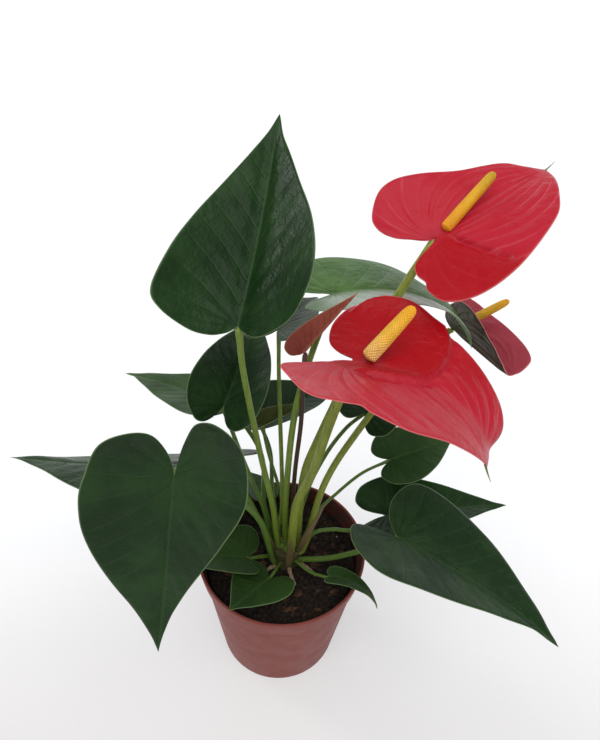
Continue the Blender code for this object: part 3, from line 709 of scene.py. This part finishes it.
class Finish:
    """One procedural material: a Principled shader and the nodes that drive it."""

    def __init__(self, name, **constants):
        self.material = bpy.data.materials.new(name)
        self.material.use_nodes = True
        self.tree = self.material.node_tree
        self.shader = self.tree.nodes["Principled BSDF"]
        self.place = self.add("TexCoord").outputs["Object"]
        for socket, value in constants.items():
            self.shader.inputs[socket.replace("_", " ")].default_value = value

    def add(self, kind, sockets=(), **settings):
        return add_node(self.tree, kind, sockets, **settings)

    def noise(self, scale, detail=3.0, stretch=None):
        """Noise with this many features to the metre."""
        where = self.place
        if stretch is not None:
            where = self.add("Mapping", {"Vector": self.place, "Scale": stretch}).outputs["Vector"]
        sockets = {"Vector": where, "Scale": scale, "Detail": detail, "Roughness": 0.55}
        return self.add("TexNoise", sockets).outputs["Fac"]

    def cells(self, scale):
        return self.add("TexVoronoi", {"Vector": self.place, "Scale": scale}).outputs["Distance"]

    def ramp(self, value, start, end, low=0.0, high=1.0):
        sockets = {"Value": value, "From Min": start, "From Max": end, "To Min": low, "To Max": high}
        return self.add("MapRange", sockets, interpolation_type="SMOOTHSTEP").outputs["Result"]

    def patches(self, scale, detail, start, end, low=0.0, high=1.0):
        return self.ramp(self.noise(scale, detail), start, end, low, high)

    def stored(self, name):
        return self.add("Attribute", attribute_name=name).outputs["Fac"]

    def near(self, name, start, end):
        """1 where the stored number is small, 0 where it is large."""
        return self.ramp(self.stored(name), start, end, 1.0, 0.0)

    def veins(self, start, end):
        """1 on the veins, where the stored vein number is whole."""
        return self.ramp(self.math("PINGPONG", self.stored("vein"), 0.5), start, end, 1.0, 0.0)

    def math(self, operation, first, second):
        return self.add("Math", {0: first, 1: second}, operation=operation).outputs[0]

    def mix(self, factor, first, second):
        sockets = {"Factor": factor, 6: colour(first), 7: colour(second)}
        return self.add("Mix", sockets, data_type="RGBA").outputs[2]

    def tinge(self, tint, factor, strength, other):
        """The tint, turned to another one by so much of the factor."""
        return self.mix(self.math("MULTIPLY", factor, strength), tint, other)

    def bump(self, height, distance, below=None):
        """Bump of this depth in metres, on top of another one."""
        sockets = {"Height": height, "Strength": 1.0, "Distance": distance}
        if below is not None:
            sockets["Normal"] = below
        return self.add("Bump", sockets).outputs["Normal"]

    def finished(self, tint, gloss, normal, tint_socket="Base Color"):
        for socket, value in ((tint_socket, tint), ("Roughness", gloss), ("Normal", normal)):
            self.tree.links.new(value, self.shader.inputs[socket])
        return self.material


# The grey of the painted sheen on a leaf.
PAINTED_SHEEN_GREY = (0.40, 0.45, 0.40)


def leaf_finish(name, dark, light, vein, margin, roughness=0.36, under=False):
    """Waxy leaf: mottled green, paler veins and margin, fine pebbled cells, and painted grey sheen."""
    made = Finish(name, Specular_IOR_Level=0.14 if under else 0.17, IOR=1.45)
    tint = made.mix(made.patches(34.0, 4.0, 0.36, 0.66), dark, light)
    tint = made.mix(made.patches(900.0, 2.0, 0.4, 0.75, 0.0, 0.22), tint, light)
    tint = made.tinge(tint, made.stored("bloom"), made.patches(70.0, 4.0, 0.25, 0.6, 0.55, 1.0), PAINTED_SHEEN_GREY)
    clear = made.ramp(made.stored("edge"), 0.001, 6.0)
    veins = made.math("MULTIPLY", made.veins(0.015, 0.085), clear)
    tint = made.tinge(tint, veins, 0.5 if under else 0.12, vein)
    tint = made.tinge(tint, made.near("across", 0.35, 1.1), 0.75 if under else 0.3, vein)
    tint = made.tinge(tint, made.near("edge", 0.18, 0.65), 0.7, margin)
    gloss = made.patches(60.0, 3.0, 0.3, 0.7, roughness - 0.06, roughness + 0.1)
    pebbles = made.bump(made.cells(620.0), 0.00012)
    quilt = made.bump(made.noise(190.0, 2.0), 0.0006, pebbles)
    return made.finished(tint, gloss, made.bump(veins, 0.0003 if under else -0.00015, quilt))


def spathe_finish(name, deep, pale_and_sheen_tint, vein, roughness, coat):
    """Lacquered spathe: deep red where smooth, pinker and puckered where it is veined; the pinker tint is
    partly painted sheen.
    """
    made = Finish(name, Specular_IOR_Level=0.13, Coat_Weight=coat, Coat_Roughness=0.16, Coat_IOR=1.35)
    bloom = made.stored("bloom")
    mottle = made.math("MULTIPLY", made.patches(55.0, 4.0, 0.3, 0.7, -0.25, 0.25), bloom)
    tint = made.mix(made.math("ADD", bloom, mottle), deep, pale_and_sheen_tint)
    veins = made.math("MULTIPLY", made.veins(0.02, 0.12), bloom)
    patchy = made.math("MULTIPLY", veins, made.patches(45.0, 2.0, 0.35, 0.65, 0.05, 0.5))
    tint = made.mix(patchy, tint, vein)
    tint = made.tinge(tint, made.near("edge", 0.15, 0.55), 0.5, (0.75, 0.25, 0.24))
    gloss = made.patches(80.0, 3.0, 0.3, 0.7, roughness - 0.08, roughness + 0.1)
    fine = made.bump(made.noise(1100.0, 2.0), 0.00006)
    pucker = made.bump(made.noise(150.0, 3.0), 0.0010, fine)
    return made.finished(tint, gloss, made.bump(patchy, -0.0003, pucker))


def spathe_back_finish(name, base, streak, vein):
    """The spathe's duller back, streaked along its veins."""
    made = Finish(name, Specular_IOR_Level=0.25, IOR=1.45)
    tint = made.mix(made.patches(38.0, 4.0, 0.38, 0.62), base, streak)
    veins = made.veins(0.02, 0.14)
    tint = made.tinge(tint, veins, 0.4, vein)
    tint = made.tinge(tint, made.near("edge", 0.15, 0.7), 0.8, (0.62, 0.30, 0.30))
    gloss = made.patches(120.0, 3.0, 0.3, 0.7, 0.32, 0.5)
    grain = made.bump(made.noise(240.0, 3.0), 0.0006)
    return made.finished(tint, gloss, made.bump(veins, 0.0003, grain))


def stem_finish(name, foot, middle, top, spot):
    """A stem that changes colour from foot to blade, with long fibres and a few darker spots."""
    made = Finish(name, Specular_IOR_Level=0.35, IOR=1.45)
    along = made.stored("along")
    tint = made.mix(made.ramp(along, 0.02, 0.3), foot, middle)
    tint = made.mix(made.ramp(along, 0.72, 1.0), tint, top)
    fibres = made.noise(700.0, 3.0, (1.0, 1.0, 0.07))
    tint = made.mix(made.ramp(fibres, 0.35, 0.7, 0.0, 0.35), tint, spot)
    tint = made.mix(made.patches(420.0, 1.0, 0.66, 0.74, 0.0, 0.5), tint, spot)
    gloss = made.ramp(fibres, 0.3, 0.7, 0.34, 0.52)
    ribs = made.bump(fibres, 0.00025)
    return made.finished(tint, gloss, made.bump(made.noise(130.0, 2.0), 0.0005, ribs))


def spadix_finish(name, foot, middle, tip):
    """Florets are paler on top than in the grooves between them, which are darkened with painted shade."""
    made = Finish(name, Specular_IOR_Level=0.3, IOR=1.45)
    along = made.stored("along")
    tint = made.mix(made.ramp(along, 0.08, 0.5), foot, middle)
    tint = made.mix(made.ramp(along, 0.55, 0.98), tint, tip)
    tint = made.mix(made.patches(260.0, 3.0, 0.35, 0.7, 0.0, 0.3), tint, (0.50, 0.22, 0.02))
    # Painted shade in the grooves between the florets.
    groove_shade = made.ramp(made.stored("floret"), 0.0, 0.5, 0.6, 0.0)
    tint = made.mix(groove_shade, tint, (0.42, 0.17, 0.008))
    gloss = made.patches(500.0, 2.0, 0.3, 0.7, 0.42, 0.62)
    return made.finished(tint, gloss, made.bump(made.noise(1500.0, 2.0), 0.0001))


def pot_finish():
    """Moulded plastic: satin, faintly streaked by the mould, scuffed and dusty in places."""
    made = Finish("pot_terracotta_plastic", Specular_IOR_Level=0.14)
    streaks = made.noise(60.0, 3.0, (1.0, 1.0, 0.25))
    tint = made.mix(made.ramp(streaks, 0.3, 0.7), (0.205, 0.050, 0.040), (0.220, 0.057, 0.046))
    tint = made.mix(made.patches(240.0, 5.0, 0.6, 0.8, 0.0, 0.2), tint, (0.28, 0.095, 0.075))
    specks = made.ramp(made.cells(300.0), 0.03, 0.10, 0.5, 0.0)
    tint = made.mix(specks, tint, (0.12, 0.03, 0.02))
    gloss = made.patches(90.0, 4.0, 0.3, 0.7, 0.42, 0.54)
    grain = made.bump(made.noise(1800.0, 2.0), 0.00005)
    return made.finished(tint, gloss, made.bump(streaks, 0.00008, grain))


def inner_wall_shade_finish():
    """The same plastic, darkened with painted shade inside the pot, in blotches of two tones."""
    made = Finish("pot_inside", Specular_IOR_Level=0.3)
    blotches = made.patches(110.0, 5.0, 0.35, 0.65)
    tint = made.mix(blotches, (0.075, 0.020, 0.014), (0.035, 0.014, 0.010))
    gloss = made.ramp(blotches, 0.0, 1.0, 0.4, 0.75)
    return made.finished(tint, gloss, made.bump(made.noise(700.0, 3.0), 0.0002))


def earth_finish(name, dark, light, scale, roughness=0.9):
    """Crumbly earth, bark or perlite."""
    made = Finish(name, Specular_IOR_Level=0.2)
    tint = made.mix(made.patches(scale, 5.0, 0.35, 0.65), dark, light)
    gloss = made.patches(scale * 2, 2.0, 0.3, 0.7, roughness - 0.12, roughness)
    return made.finished(tint, gloss, made.bump(made.noise(scale * 3, 4.0), 0.0006))


# Floor: pale grey-lilac near the viewer, white beyond.
FLOOR_NEAR = (0.735, 0.712, 0.715)
FLOOR_FAR = (0.97, 0.98, 1.0)
FLOOR_GLOW = 0.5


def floor_finish():
    """A matt floor that half reflects and half glows."""
    made = Finish("pale_floor", Specular_IOR_Level=0.1, Emission_Strength=FLOOR_GLOW)
    depth = made.add("SeparateXYZ", {"Vector": made.place}).outputs["Y"]
    wander = made.patches(6.0, 2.0, 0.3, 0.7, -0.01, 0.01)
    tint = made.mix(made.ramp(made.math("ADD", depth, wander), -0.20, 0.15), FLOOR_NEAR, FLOOR_FAR)
    gloss = made.patches(20.0, 3.0, 0.3, 0.7, 0.75, 0.9)
    made.tree.links.new(made.mix(0.5, tint, (0.0, 0.0, 0.0)), made.shader.inputs["Base Color"])
    weave = made.bump(made.noise(900.0, 2.0), 0.0001)
    return made.finished(tint, gloss, weave, "Emission Color")


# ---- the plant


def make_leaf_finishes():
    green = leaf_finish(
        "leaf_green", (0.0075, 0.0260, 0.0065), (0.0170, 0.0480, 0.0120), (0.034, 0.082, 0.022),
        (0.15, 0.23, 0.10),
    )
    soft = leaf_finish(
        "leaf_soft_green", (0.0150, 0.0440, 0.0085), (0.0300, 0.0720, 0.0150), (0.060, 0.120, 0.030),
        (0.16, 0.24, 0.10), 0.52,
    )
    pale_back = leaf_finish(
        "leaf_back", (0.050, 0.105, 0.040), (0.070, 0.135, 0.050), (0.12, 0.20, 0.08),
        (0.16, 0.22, 0.11), 0.5, True,
    )
    light = leaf_finish(
        "light_leaf_green", (0.045, 0.120, 0.028), (0.085, 0.175, 0.042), (0.13, 0.22, 0.09),
        (0.25, 0.32, 0.18),
    )
    light_back = leaf_finish(
        "light_leaf_back", (0.10, 0.17, 0.07), (0.13, 0.21, 0.09), (0.20, 0.28, 0.13),
        (0.25, 0.32, 0.18), 0.5, True,
    )
    red = leaf_finish(
        "young_leaf_red", (0.20, 0.026, 0.018), (0.28, 0.055, 0.036), (0.34, 0.12, 0.07),
        (0.36, 0.20, 0.13),
    )
    red_back = leaf_finish(
        "young_leaf_back", (0.20, 0.034, 0.026), (0.30, 0.070, 0.048), (0.36, 0.13, 0.08),
        (0.36, 0.20, 0.13), 0.42, True,
    )
    olive = leaf_finish(
        "olive_leaf", (0.060, 0.085, 0.018), (0.10, 0.12, 0.030), (0.16, 0.17, 0.06), (0.20, 0.20, 0.10)
    )
    dark_pair = (green, pale_back)
    soft_pair = (soft, pale_back)
    soft_keys = ("mid_left", "round_right", "basal_front", "basal_right", "basal_left", "basal_back")
    return dark_pair, {
        **{key: soft_pair for key in soft_keys},
        "top_arched": (light, light_back),
        "young_furled": (red, red_back),
        "young_olive": (olive, light_back),
    }


STALK_SLOTS = {
    "top_arched": "bright_petiole",
    "upper_left": "bright_petiole",
    "top_back": "bright_petiole",
    "young_furled": "red_petiole",
}


def build_leaves():
    dark_pair, young_pairs = make_leaf_finishes()
    stalks = {
        "petiole": stem_finish(
            "petiole_green", (0.075, 0.120, 0.030), (0.095, 0.175, 0.025), (0.100, 0.175, 0.028),
            (0.030, 0.060, 0.014),
        ),
        "bright_petiole": stem_finish(
            "petiole_yellow_green", (0.105, 0.155, 0.032), (0.165, 0.250, 0.032), (0.175, 0.255, 0.036),
            (0.055, 0.085, 0.018),
        ),
        "red_petiole": stem_finish(
            "petiole_red_brown", (0.075, 0.075, 0.030), (0.060, 0.035, 0.020), (0.12, 0.050, 0.030),
            (0.040, 0.016, 0.010),
        ),
    }
    for seed, (key, leaf) in enumerate(LEAVES.items()):
        grid = sheet_grid(leaf, heart_margin(leaf, LEAF_STEPS), LEAF_RINGS)
        relief = leaf_relief(leaf, grid, seed)
        pair = young_pairs.get(key, dark_pair)
        blade = build_sheet(f"blade_{key}", leaf, grid, relief, LEAF_THICKNESS, pair)
        place(blade, f"leaf_{key}")
        slot = STALK_SLOTS.get(key, "petiole")
        stalk = build_stem(f"stalk_{key}", PETIOLES[key], leaf, LEAF_THICKNESS, stalks[slot])
        place(stalk, f"petiole_{key}")


def build_flowers():
    red = spathe_finish(
        "spathe_red", (0.365, 0.0030, 0.0075), (0.445, 0.0130, 0.0290), (0.58, 0.075, 0.110), 0.36, 0.12
    )
    red_back = spathe_back_finish(
        "spathe_back", (0.36, 0.016, 0.028), (0.44, 0.035, 0.050), (0.30, 0.05, 0.05)
    )
    dull = spathe_finish(
        "side_spathe_red", (0.26, 0.020, 0.034), (0.32, 0.042, 0.062), (0.20, 0.020, 0.060), 0.42, 0.12
    )
    green_back = spathe_back_finish(
        "side_spathe_back", (0.040, 0.038, 0.014), (0.055, 0.030, 0.018), (0.085, 0.075, 0.035)
    )
    stalk = stem_finish(
        "peduncle_green", (0.120, 0.180, 0.032), (0.215, 0.265, 0.036), (0.290, 0.320, 0.044),
        (0.070, 0.095, 0.020),
    )
    tones = {
        "upper": ((0.84, 0.36, 0.016), (0.78, 0.42, 0.014), (0.55, 0.38, 0.020)),
        "lower": ((0.90, 0.58, 0.190), (0.95, 0.55, 0.055), (0.95, 0.46, 0.012)),
        "side": ((0.52, 0.46, 0.050), (0.72, 0.46, 0.030), (0.78, 0.42, 0.016)),
    }
    knobs = {"upper": 0.34, "lower": 0.62, "side": 0.30}
    for seed, (key, spathe) in enumerate(SPATHES.items()):
        grid = sheet_grid(spathe, drawn_margin(SPATHE_MARGINS[key], SPATHE_STEPS), SPATHE_RINGS)
        tip = np.array(SPATHE_MARGINS[key][0][-1], float)
        relief = SPATHE_RELIEFS[key](spathe, grid, 40 + seed, tip)
        pair = (dull, green_back) if key == "side" else (red, red_back)
        blade = build_sheet(f"bract_{key}", spathe, grid, relief, SPATHE_THICKNESS, (*pair, stalk))
        if key in SPIKES:
            add_spike(blade, spathe, tip, *SPIKES[key])
        place(blade, f"spathe_{key}")
        stem = build_stem(f"flower_stalk_{key}", PEDUNCLES[key], spathe, SPATHE_THICKNESS, stalk)
        place(stem, f"peduncle_{key}")
        finish = spadix_finish(f"spadix_{key}_yellow", *tones[key])
        spike = build_spadix(
            f"florets_{key}", spathe, SPADICES[key], SPADIX_LET_DOWN[key], knobs[key], finish
        )
        place(spike, f"spadix_{key}")


# ---- pot, soil, crown and roots


def outer_radius(height):
    """Outer radius of the pot's tapered wall below the collar."""
    top = POT_RIM_RADIUS - COLLAR_STEP
    return POT_BASE_RADIUS + (top - POT_BASE_RADIUS) * height / POT_HEIGHT


def pot_profile():
    """The CAD pot's section, with rounded corners and the fine steps of its mould."""
    under = POT_HEIGHT - COLLAR_HEIGHT
    collar = outer_radius(under) + COLLAR_STEP
    inner = outer_radius(under) - POT_WALL
    low = outer_radius(POT_FLOOR) - POT_WALL
    rim, foot = POT_RIM_RADIUS, POT_BASE_RADIUS
    underside = [
        (0, 0.8), (foot - 5.0, 0.8), (foot - 3.6, 0), (foot - 1.2, 0), (foot - 0.5, 0.25), (foot, 1.2),
    ]
    step = [
        (outer_radius(under - 0.8), under - 0.8), (outer_radius(under) + 0.25, under - 0.25),
        (collar - 0.5, under), (collar - 0.12, under + 0.2), (collar, under + 0.8),
    ]
    rim_highlight = [
        (rim - 0.05, POT_HEIGHT - 1.6), (rim, POT_HEIGHT - 0.7), (rim - 0.25, POT_HEIGHT - 0.15),
        (rim - 0.7, POT_HEIGHT), (rim - POT_WALL + 0.4, POT_HEIGHT - 0.1), (rim - POT_WALL, POT_HEIGHT - 0.6),
    ]
    inside = [
        (inner + 0.3, under - 0.6), (inner, under - 1.6), (low, POT_FLOOR + 1.0), (low - 1.0, POT_FLOOR),
        (0, POT_FLOOR),
    ]
    return fine_profile([*underside, *step, *rim_highlight, *inside], 6.0)


def drain_cutter():
    """A ring of pins through the pot's floor."""
    pins = bmesh.new()
    for index in range(DRAIN_HOLES):
        middle = DRAIN_HOLE_RING * MM * pointing(360 * (index + 0.5) / DRAIN_HOLES, 0)
        bmesh.ops.create_cone(
            pins, cap_ends=True, segments=32, depth=4 * POT_FLOOR * MM, matrix=Matrix.Translation(middle),
            radius1=DRAIN_HOLE_RADIUS * MM, radius2=DRAIN_HOLE_RADIUS * MM,
        )
    mesh = bpy.data.meshes.new("drain_cutter")
    pins.to_mesh(mesh)
    pins.free()
    cutter = bpy.data.objects.new("drain_cutter", mesh)
    bpy.context.scene.collection.objects.link(cutter)
    return cutter


def build_pot():
    pot = lathe("plastic_pot", pot_profile(), POT_SEGMENTS, [pot_finish(), inner_wall_shade_finish()])
    for face in pot.data.polygons:
        out = Vector((face.center.x, face.center.y, 0.0))
        level = face.center.z / MM
        # Faces of the inner wall take the darker finish, painted shade inside the pot.
        face.material_index = int(face.normal.dot(out) < 0 and POT_FLOOR < level < POT_HEIGHT - 1.0)
    cutter = drain_cutter()
    cut = pot.modifiers.new("drain_holes", "BOOLEAN")
    cut.operation = "DIFFERENCE"
    cut.solver = "EXACT"
    cut.object = cutter
    graph = bpy.context.evaluated_depsgraph_get()
    drilled = bpy.data.meshes.new_from_object(pot.evaluated_get(graph))
    pot.modifiers.clear()
    pot.data = drilled
    bpy.data.objects.remove(cutter)
    crease = pot.modifiers.new("sharp_lips", "EDGE_SPLIT")
    crease.split_angle = math.radians(40)
    place(pot, "pot")


def soil_height(x, y):
    """The soil's surface, mounded round the crown and lumpy."""
    inner = outer_radius(SOIL_EDGE_HEIGHT) - POT_WALL - 0.8
    share = min(math.hypot(x, y) / inner, 1.0)
    level = SOIL_MIDDLE_HEIGHT + (SOIL_EDGE_HEIGHT - SOIL_MIDDLE_HEIGHT) * share
    where = Vector((x, y, 0.0))
    lumps = 1.3 * noise.noise(where / 7.0) + 0.9 * noise.noise(where / 2.6 + Vector((9, 4, 1)))
    return level + lumps - 0.6


def soil_bed(bed):
    """A disc of earth up from the pot's floor, its top fine enough to be lumpy."""
    inner = outer_radius(SOIL_EDGE_HEIGHT) - POT_WALL - 0.7
    low = outer_radius(POT_FLOOR) - POT_WALL - 0.8
    turns = [2 * math.pi * side / SOIL_SIDES for side in range(SOIL_SIDES)]
    points = [(0.0, 0.0, POT_FLOOR + 0.3)]
    points += [(low * math.cos(turn), low * math.sin(turn), POT_FLOOR + 0.3) for turn in turns]
    for ring in range(SOIL_RINGS, 0, -1):
        reach = inner * ring / SOIL_RINGS
        for turn in turns:
            x, y = reach * math.cos(turn), reach * math.sin(turn)
            points.append((x, y, soil_height(x, y)))
    points.append((0.0, 0.0, soil_height(0, 0)))
    corners = [bed.verts.new(Vector(point) * MM) for point in points]
    for face in body_faces(SOIL_RINGS + 1, SOIL_SIDES):
        bed.faces.new([corners[index] for index in face]).smooth = True


# Bits on the soil: how many, least and most radius, flatness, material.
SOIL_BITS = {
    "crumbs": (1500, 0.5, 1.5, 0.8, 1),
    "clods": (190, 1.4, 2.6, 0.7, 0),
    "bark": (110, 1.2, 3.0, 0.35, 2),
    "perlite": (9, 0.4, 0.8, 0.85, 3),
}


def scatter_bits(bed):
    """Uneven bits half sunk in the soil, clear of the crown."""
    chance = np.random.default_rng(7)
    reach = outer_radius(SOIL_EDGE_HEIGHT) - POT_WALL - 3.6
    for number, least, most, flat, finish in SOIL_BITS.values():
        for _ in range(number):
            turn, out = chance.uniform(0, 2 * math.pi), reach * math.sqrt(chance.uniform(0, 1))
            x, y = out * math.cos(turn), out * math.sin(turn)
            radius = least + (most - least) * chance.uniform(0, 1) ** 2
            if math.hypot(x - CROWN_CENTRE[0], y - CROWN_CENTRE[1]) < CROWN_RADIUS + 1.5 + radius:
                continue
            size = radius * Vector((chance.uniform(0.7, 1.5), chance.uniform(0.6, 1.0), flat))
            turned = Matrix.Rotation(chance.uniform(0, 2 * math.pi), 4, "Z") @ Matrix.Rotation(
                chance.normal(0, 0.35), 4, "X"
            )
            at = Vector((x, y, soil_height(x, y) + 0.25 * size.z))
            made = bmesh.ops.create_icosphere(bed, subdivisions=1, radius=1.0)["verts"]
            for vertex in made:
                rough = 1 + 0.35 * noise.noise(vertex.co * 1.7 + Vector((x, y, 0)))
                shaped = Vector(a * b for a, b in zip(vertex.co * rough, size))
                vertex.co = (turned @ shaped + at) * MM
            for face in {face for vertex in made for face in vertex.link_faces}:
                face.material_index = finish
                face.smooth = finish == 1


def build_soil():
    mesh = bpy.data.meshes.new("soil_bed")
    bed = bmesh.new()
    soil_bed(bed)
    scatter_bits(bed)
    bed.to_mesh(mesh)
    bed.free()
    for earth in (
        ("peat_dark", (0.010, 0.007, 0.006), (0.028, 0.019, 0.014), 420.0),
        ("peat_crumbs", (0.016, 0.012, 0.010), (0.045, 0.030, 0.021), 520.0),
        ("bark_bits", (0.030, 0.013, 0.007), (0.105, 0.050, 0.026), 380.0, 0.8),
        ("perlite", (0.42, 0.40, 0.37), (0.62, 0.60, 0.56), 600.0),
    ):
        mesh.materials.append(earth_finish(*earth))
    soil = bpy.data.objects.new("soil_bed", mesh)
    bpy.context.scene.collection.objects.link(soil)
    place(soil, "potting_soil")


def build_crown():
    """Ringed by leaf scars, with shallow knobs."""
    profile = [(0, CROWN_FOOT), (0.7 * CROWN_RADIUS, CROWN_FOOT)]
    for index in range(CROWN_SCARS):
        height = CROWN_FOOT + 1.5 + index * 2.4
        profile.append((CROWN_RADIUS * (1.0 - 0.004 * index), height))
        profile.append((0.93 * CROWN_RADIUS, height + 1.7))
    profile.append((0.72 * CROWN_RADIUS, CROWN_TOP - 1.5))
    profile.append((0, CROWN_TOP - 0.8))
    finish = earth_finish("crown_brown", (0.045, 0.050, 0.018), (0.085, 0.070, 0.030), 260.0, 0.75)
    crown = lathe(
        "crown_stock",
        fine_profile(profile, 1.0),
        48,
        [finish],
        CROWN_CENTRE,
        lambda point: 0.55 * noise.noise_vector(point / 3.0),
    )
    place(crown, "crown")


def build_small_parts():
    """Aerial roots with blunt nubs, and the papery sheaths of old leaves."""
    root_finish = stem_finish(
        "root_pale", (0.14, 0.095, 0.050), (0.24, 0.17, 0.105), (0.34, 0.26, 0.17), (0.10, 0.06, 0.03)
    )
    sheath_finish = stem_finish(
        "sheath_brown", (0.085, 0.075, 0.030), (0.13, 0.095, 0.040), (0.17, 0.12, 0.06), (0.060, 0.040, 0.018)
    )
    for key, root in ROOTS.items():
        path = smooth_path([crown_point(root), *root.way], 26)
        share = np.linspace(0, 1, len(path))
        radii = root.radii[0] + (root.radii[1] - root.radii[0]) * share
        radii *= 1 + 0.10 * np.sin(share * 23 + len(key))
        place(build_tube(f"aerial_root_{key}", path, radii, [root_finish]), f"root_{key}")
    for key, sheath in SHEATHS.items():
        path = smooth_path([crown_point(sheath), *sheath.way], 30)
        share = np.linspace(0, 1, len(path))
        radii = sheath.radii[0] * (1 + 0.25 * bump(share - 0.35, 0.3)) * (1 - share**3) + 0.15
        made = build_tube(f"old_sheath_{key}", path, radii, [sheath_finish], 0.5, 0.6)
        place(made, f"sheath_{key}")


# ---- floor, light and camera

CAMERA_PLACE = (0.005, -0.218, 0.410)
CAMERA_PITCH = 39.7
CAMERA_ROLL = 3.2
CAMERA_LENS = 30.16
SENSOR = 36.0
ROOM_STRENGTH = 0.30
WINDOW_STRENGTH = 0.95
FLOOR_HALF = 9.0
# Each sun's name, azimuth, elevation, strength, spread and tint.
SUNS = (
    ("overhead", 280, 76, 1.9, 70, (1.0, 0.99, 0.97)),
    ("front", 262, 38, 0.8, 80, (1.0, 0.99, 0.98)),
    ("window_gap", 152, 24, 0.45, 15, (1.0, 1.0, 1.0)),
)


def build_floor():
    mesh = bpy.data.meshes.new("floor")
    corners = [(x * FLOOR_HALF, y * FLOOR_HALF, 0) for x, y in ((-1, -1), (1, -1), (1, 1), (-1, 1))]
    mesh.from_pydata(corners, [], [(0, 1, 2, 3)])
    mesh.materials.append(floor_finish())
    floor = bpy.data.objects.new("floor", mesh)
    bpy.context.scene.collection.objects.link(floor)


def add_sun(name, azimuth, elevation, strength, spread, tint):
    """A soft sun that shines from an azimuth (anticlockwise from +X) and an elevation."""
    lamp = bpy.data.lights.new(name, "SUN")
    lamp.energy = strength
    lamp.angle = math.radians(spread)
    lamp.color = tint
    sun = bpy.data.objects.new(name, lamp)
    sun.rotation_mode = "QUATERNION"
    sun.rotation_quaternion = Vector(pointing(azimuth, elevation)).to_track_quat("Z", "Y")
    bpy.context.scene.collection.objects.link(sun)


def build_light():
    """A pale room, brightest low down at the back, with soft light from above and in front."""
    world = bpy.data.worlds.new("studio")
    world.use_nodes = True
    tree = world.node_tree
    parts = add_node(tree, "SeparateXYZ", {"Vector": add_node(tree, "TexCoord").outputs["Generated"]})
    ramps = {}
    for index, (axis, start, end) in enumerate((("Y", -0.3, 0.7), ("Z", 0.75, 0.1))):
        sockets = {"Value": parts.outputs[axis], "From Min": start, "From Max": end}
        ramps[index] = add_node(tree, "MapRange", sockets, interpolation_type="SMOOTHSTEP").outputs["Result"]
    window = add_node(tree, "Math", ramps, operation="MULTIPLY").outputs[0]
    sockets = {0: window, 1: WINDOW_STRENGTH, 2: ROOM_STRENGTH}
    strength = add_node(tree, "Math", sockets, operation="MULTIPLY_ADD").outputs[0]
    background = tree.nodes["Background"]
    background.inputs["Color"].default_value = (0.97, 0.985, 1.0, 1.0)
    tree.links.new(strength, background.inputs["Strength"])
    bpy.context.scene.world = world
    for sun in SUNS:
        add_sun(*sun)


def build_camera():
    camera = bpy.data.objects.new("camera", bpy.data.cameras.new("camera"))
    camera.data.lens = CAMERA_LENS
    camera.data.sensor_width = SENSOR
    camera.data.clip_start = 0.01
    pitch, roll = math.radians(CAMERA_PITCH), math.radians(CAMERA_ROLL)
    forward = Vector((0, math.cos(pitch), -math.sin(pitch)))
    level = Vector((1, 0, 0))
    upright = level.cross(forward)
    right = level * math.cos(roll) + upright * math.sin(roll)
    up = upright * math.cos(roll) - level * math.sin(roll)
    axes = Matrix((right, up, -forward)).transposed().to_4x4()
    camera.matrix_world = Matrix.Translation(CAMERA_PLACE) @ axes
    bpy.context.scene.collection.objects.link(camera)
    bpy.context.scene.camera = camera
    bpy.context.scene.view_settings.view_transform = "Standard"


def clear_scene():
    for scene_object in list(bpy.data.objects):
        bpy.data.objects.remove(scene_object, do_unlink=True)


clear_scene()
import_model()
build_pot()
build_soil()
build_crown()
build_leaves()
build_flowers()
build_small_parts()
build_floor()
build_light()
build_camera()
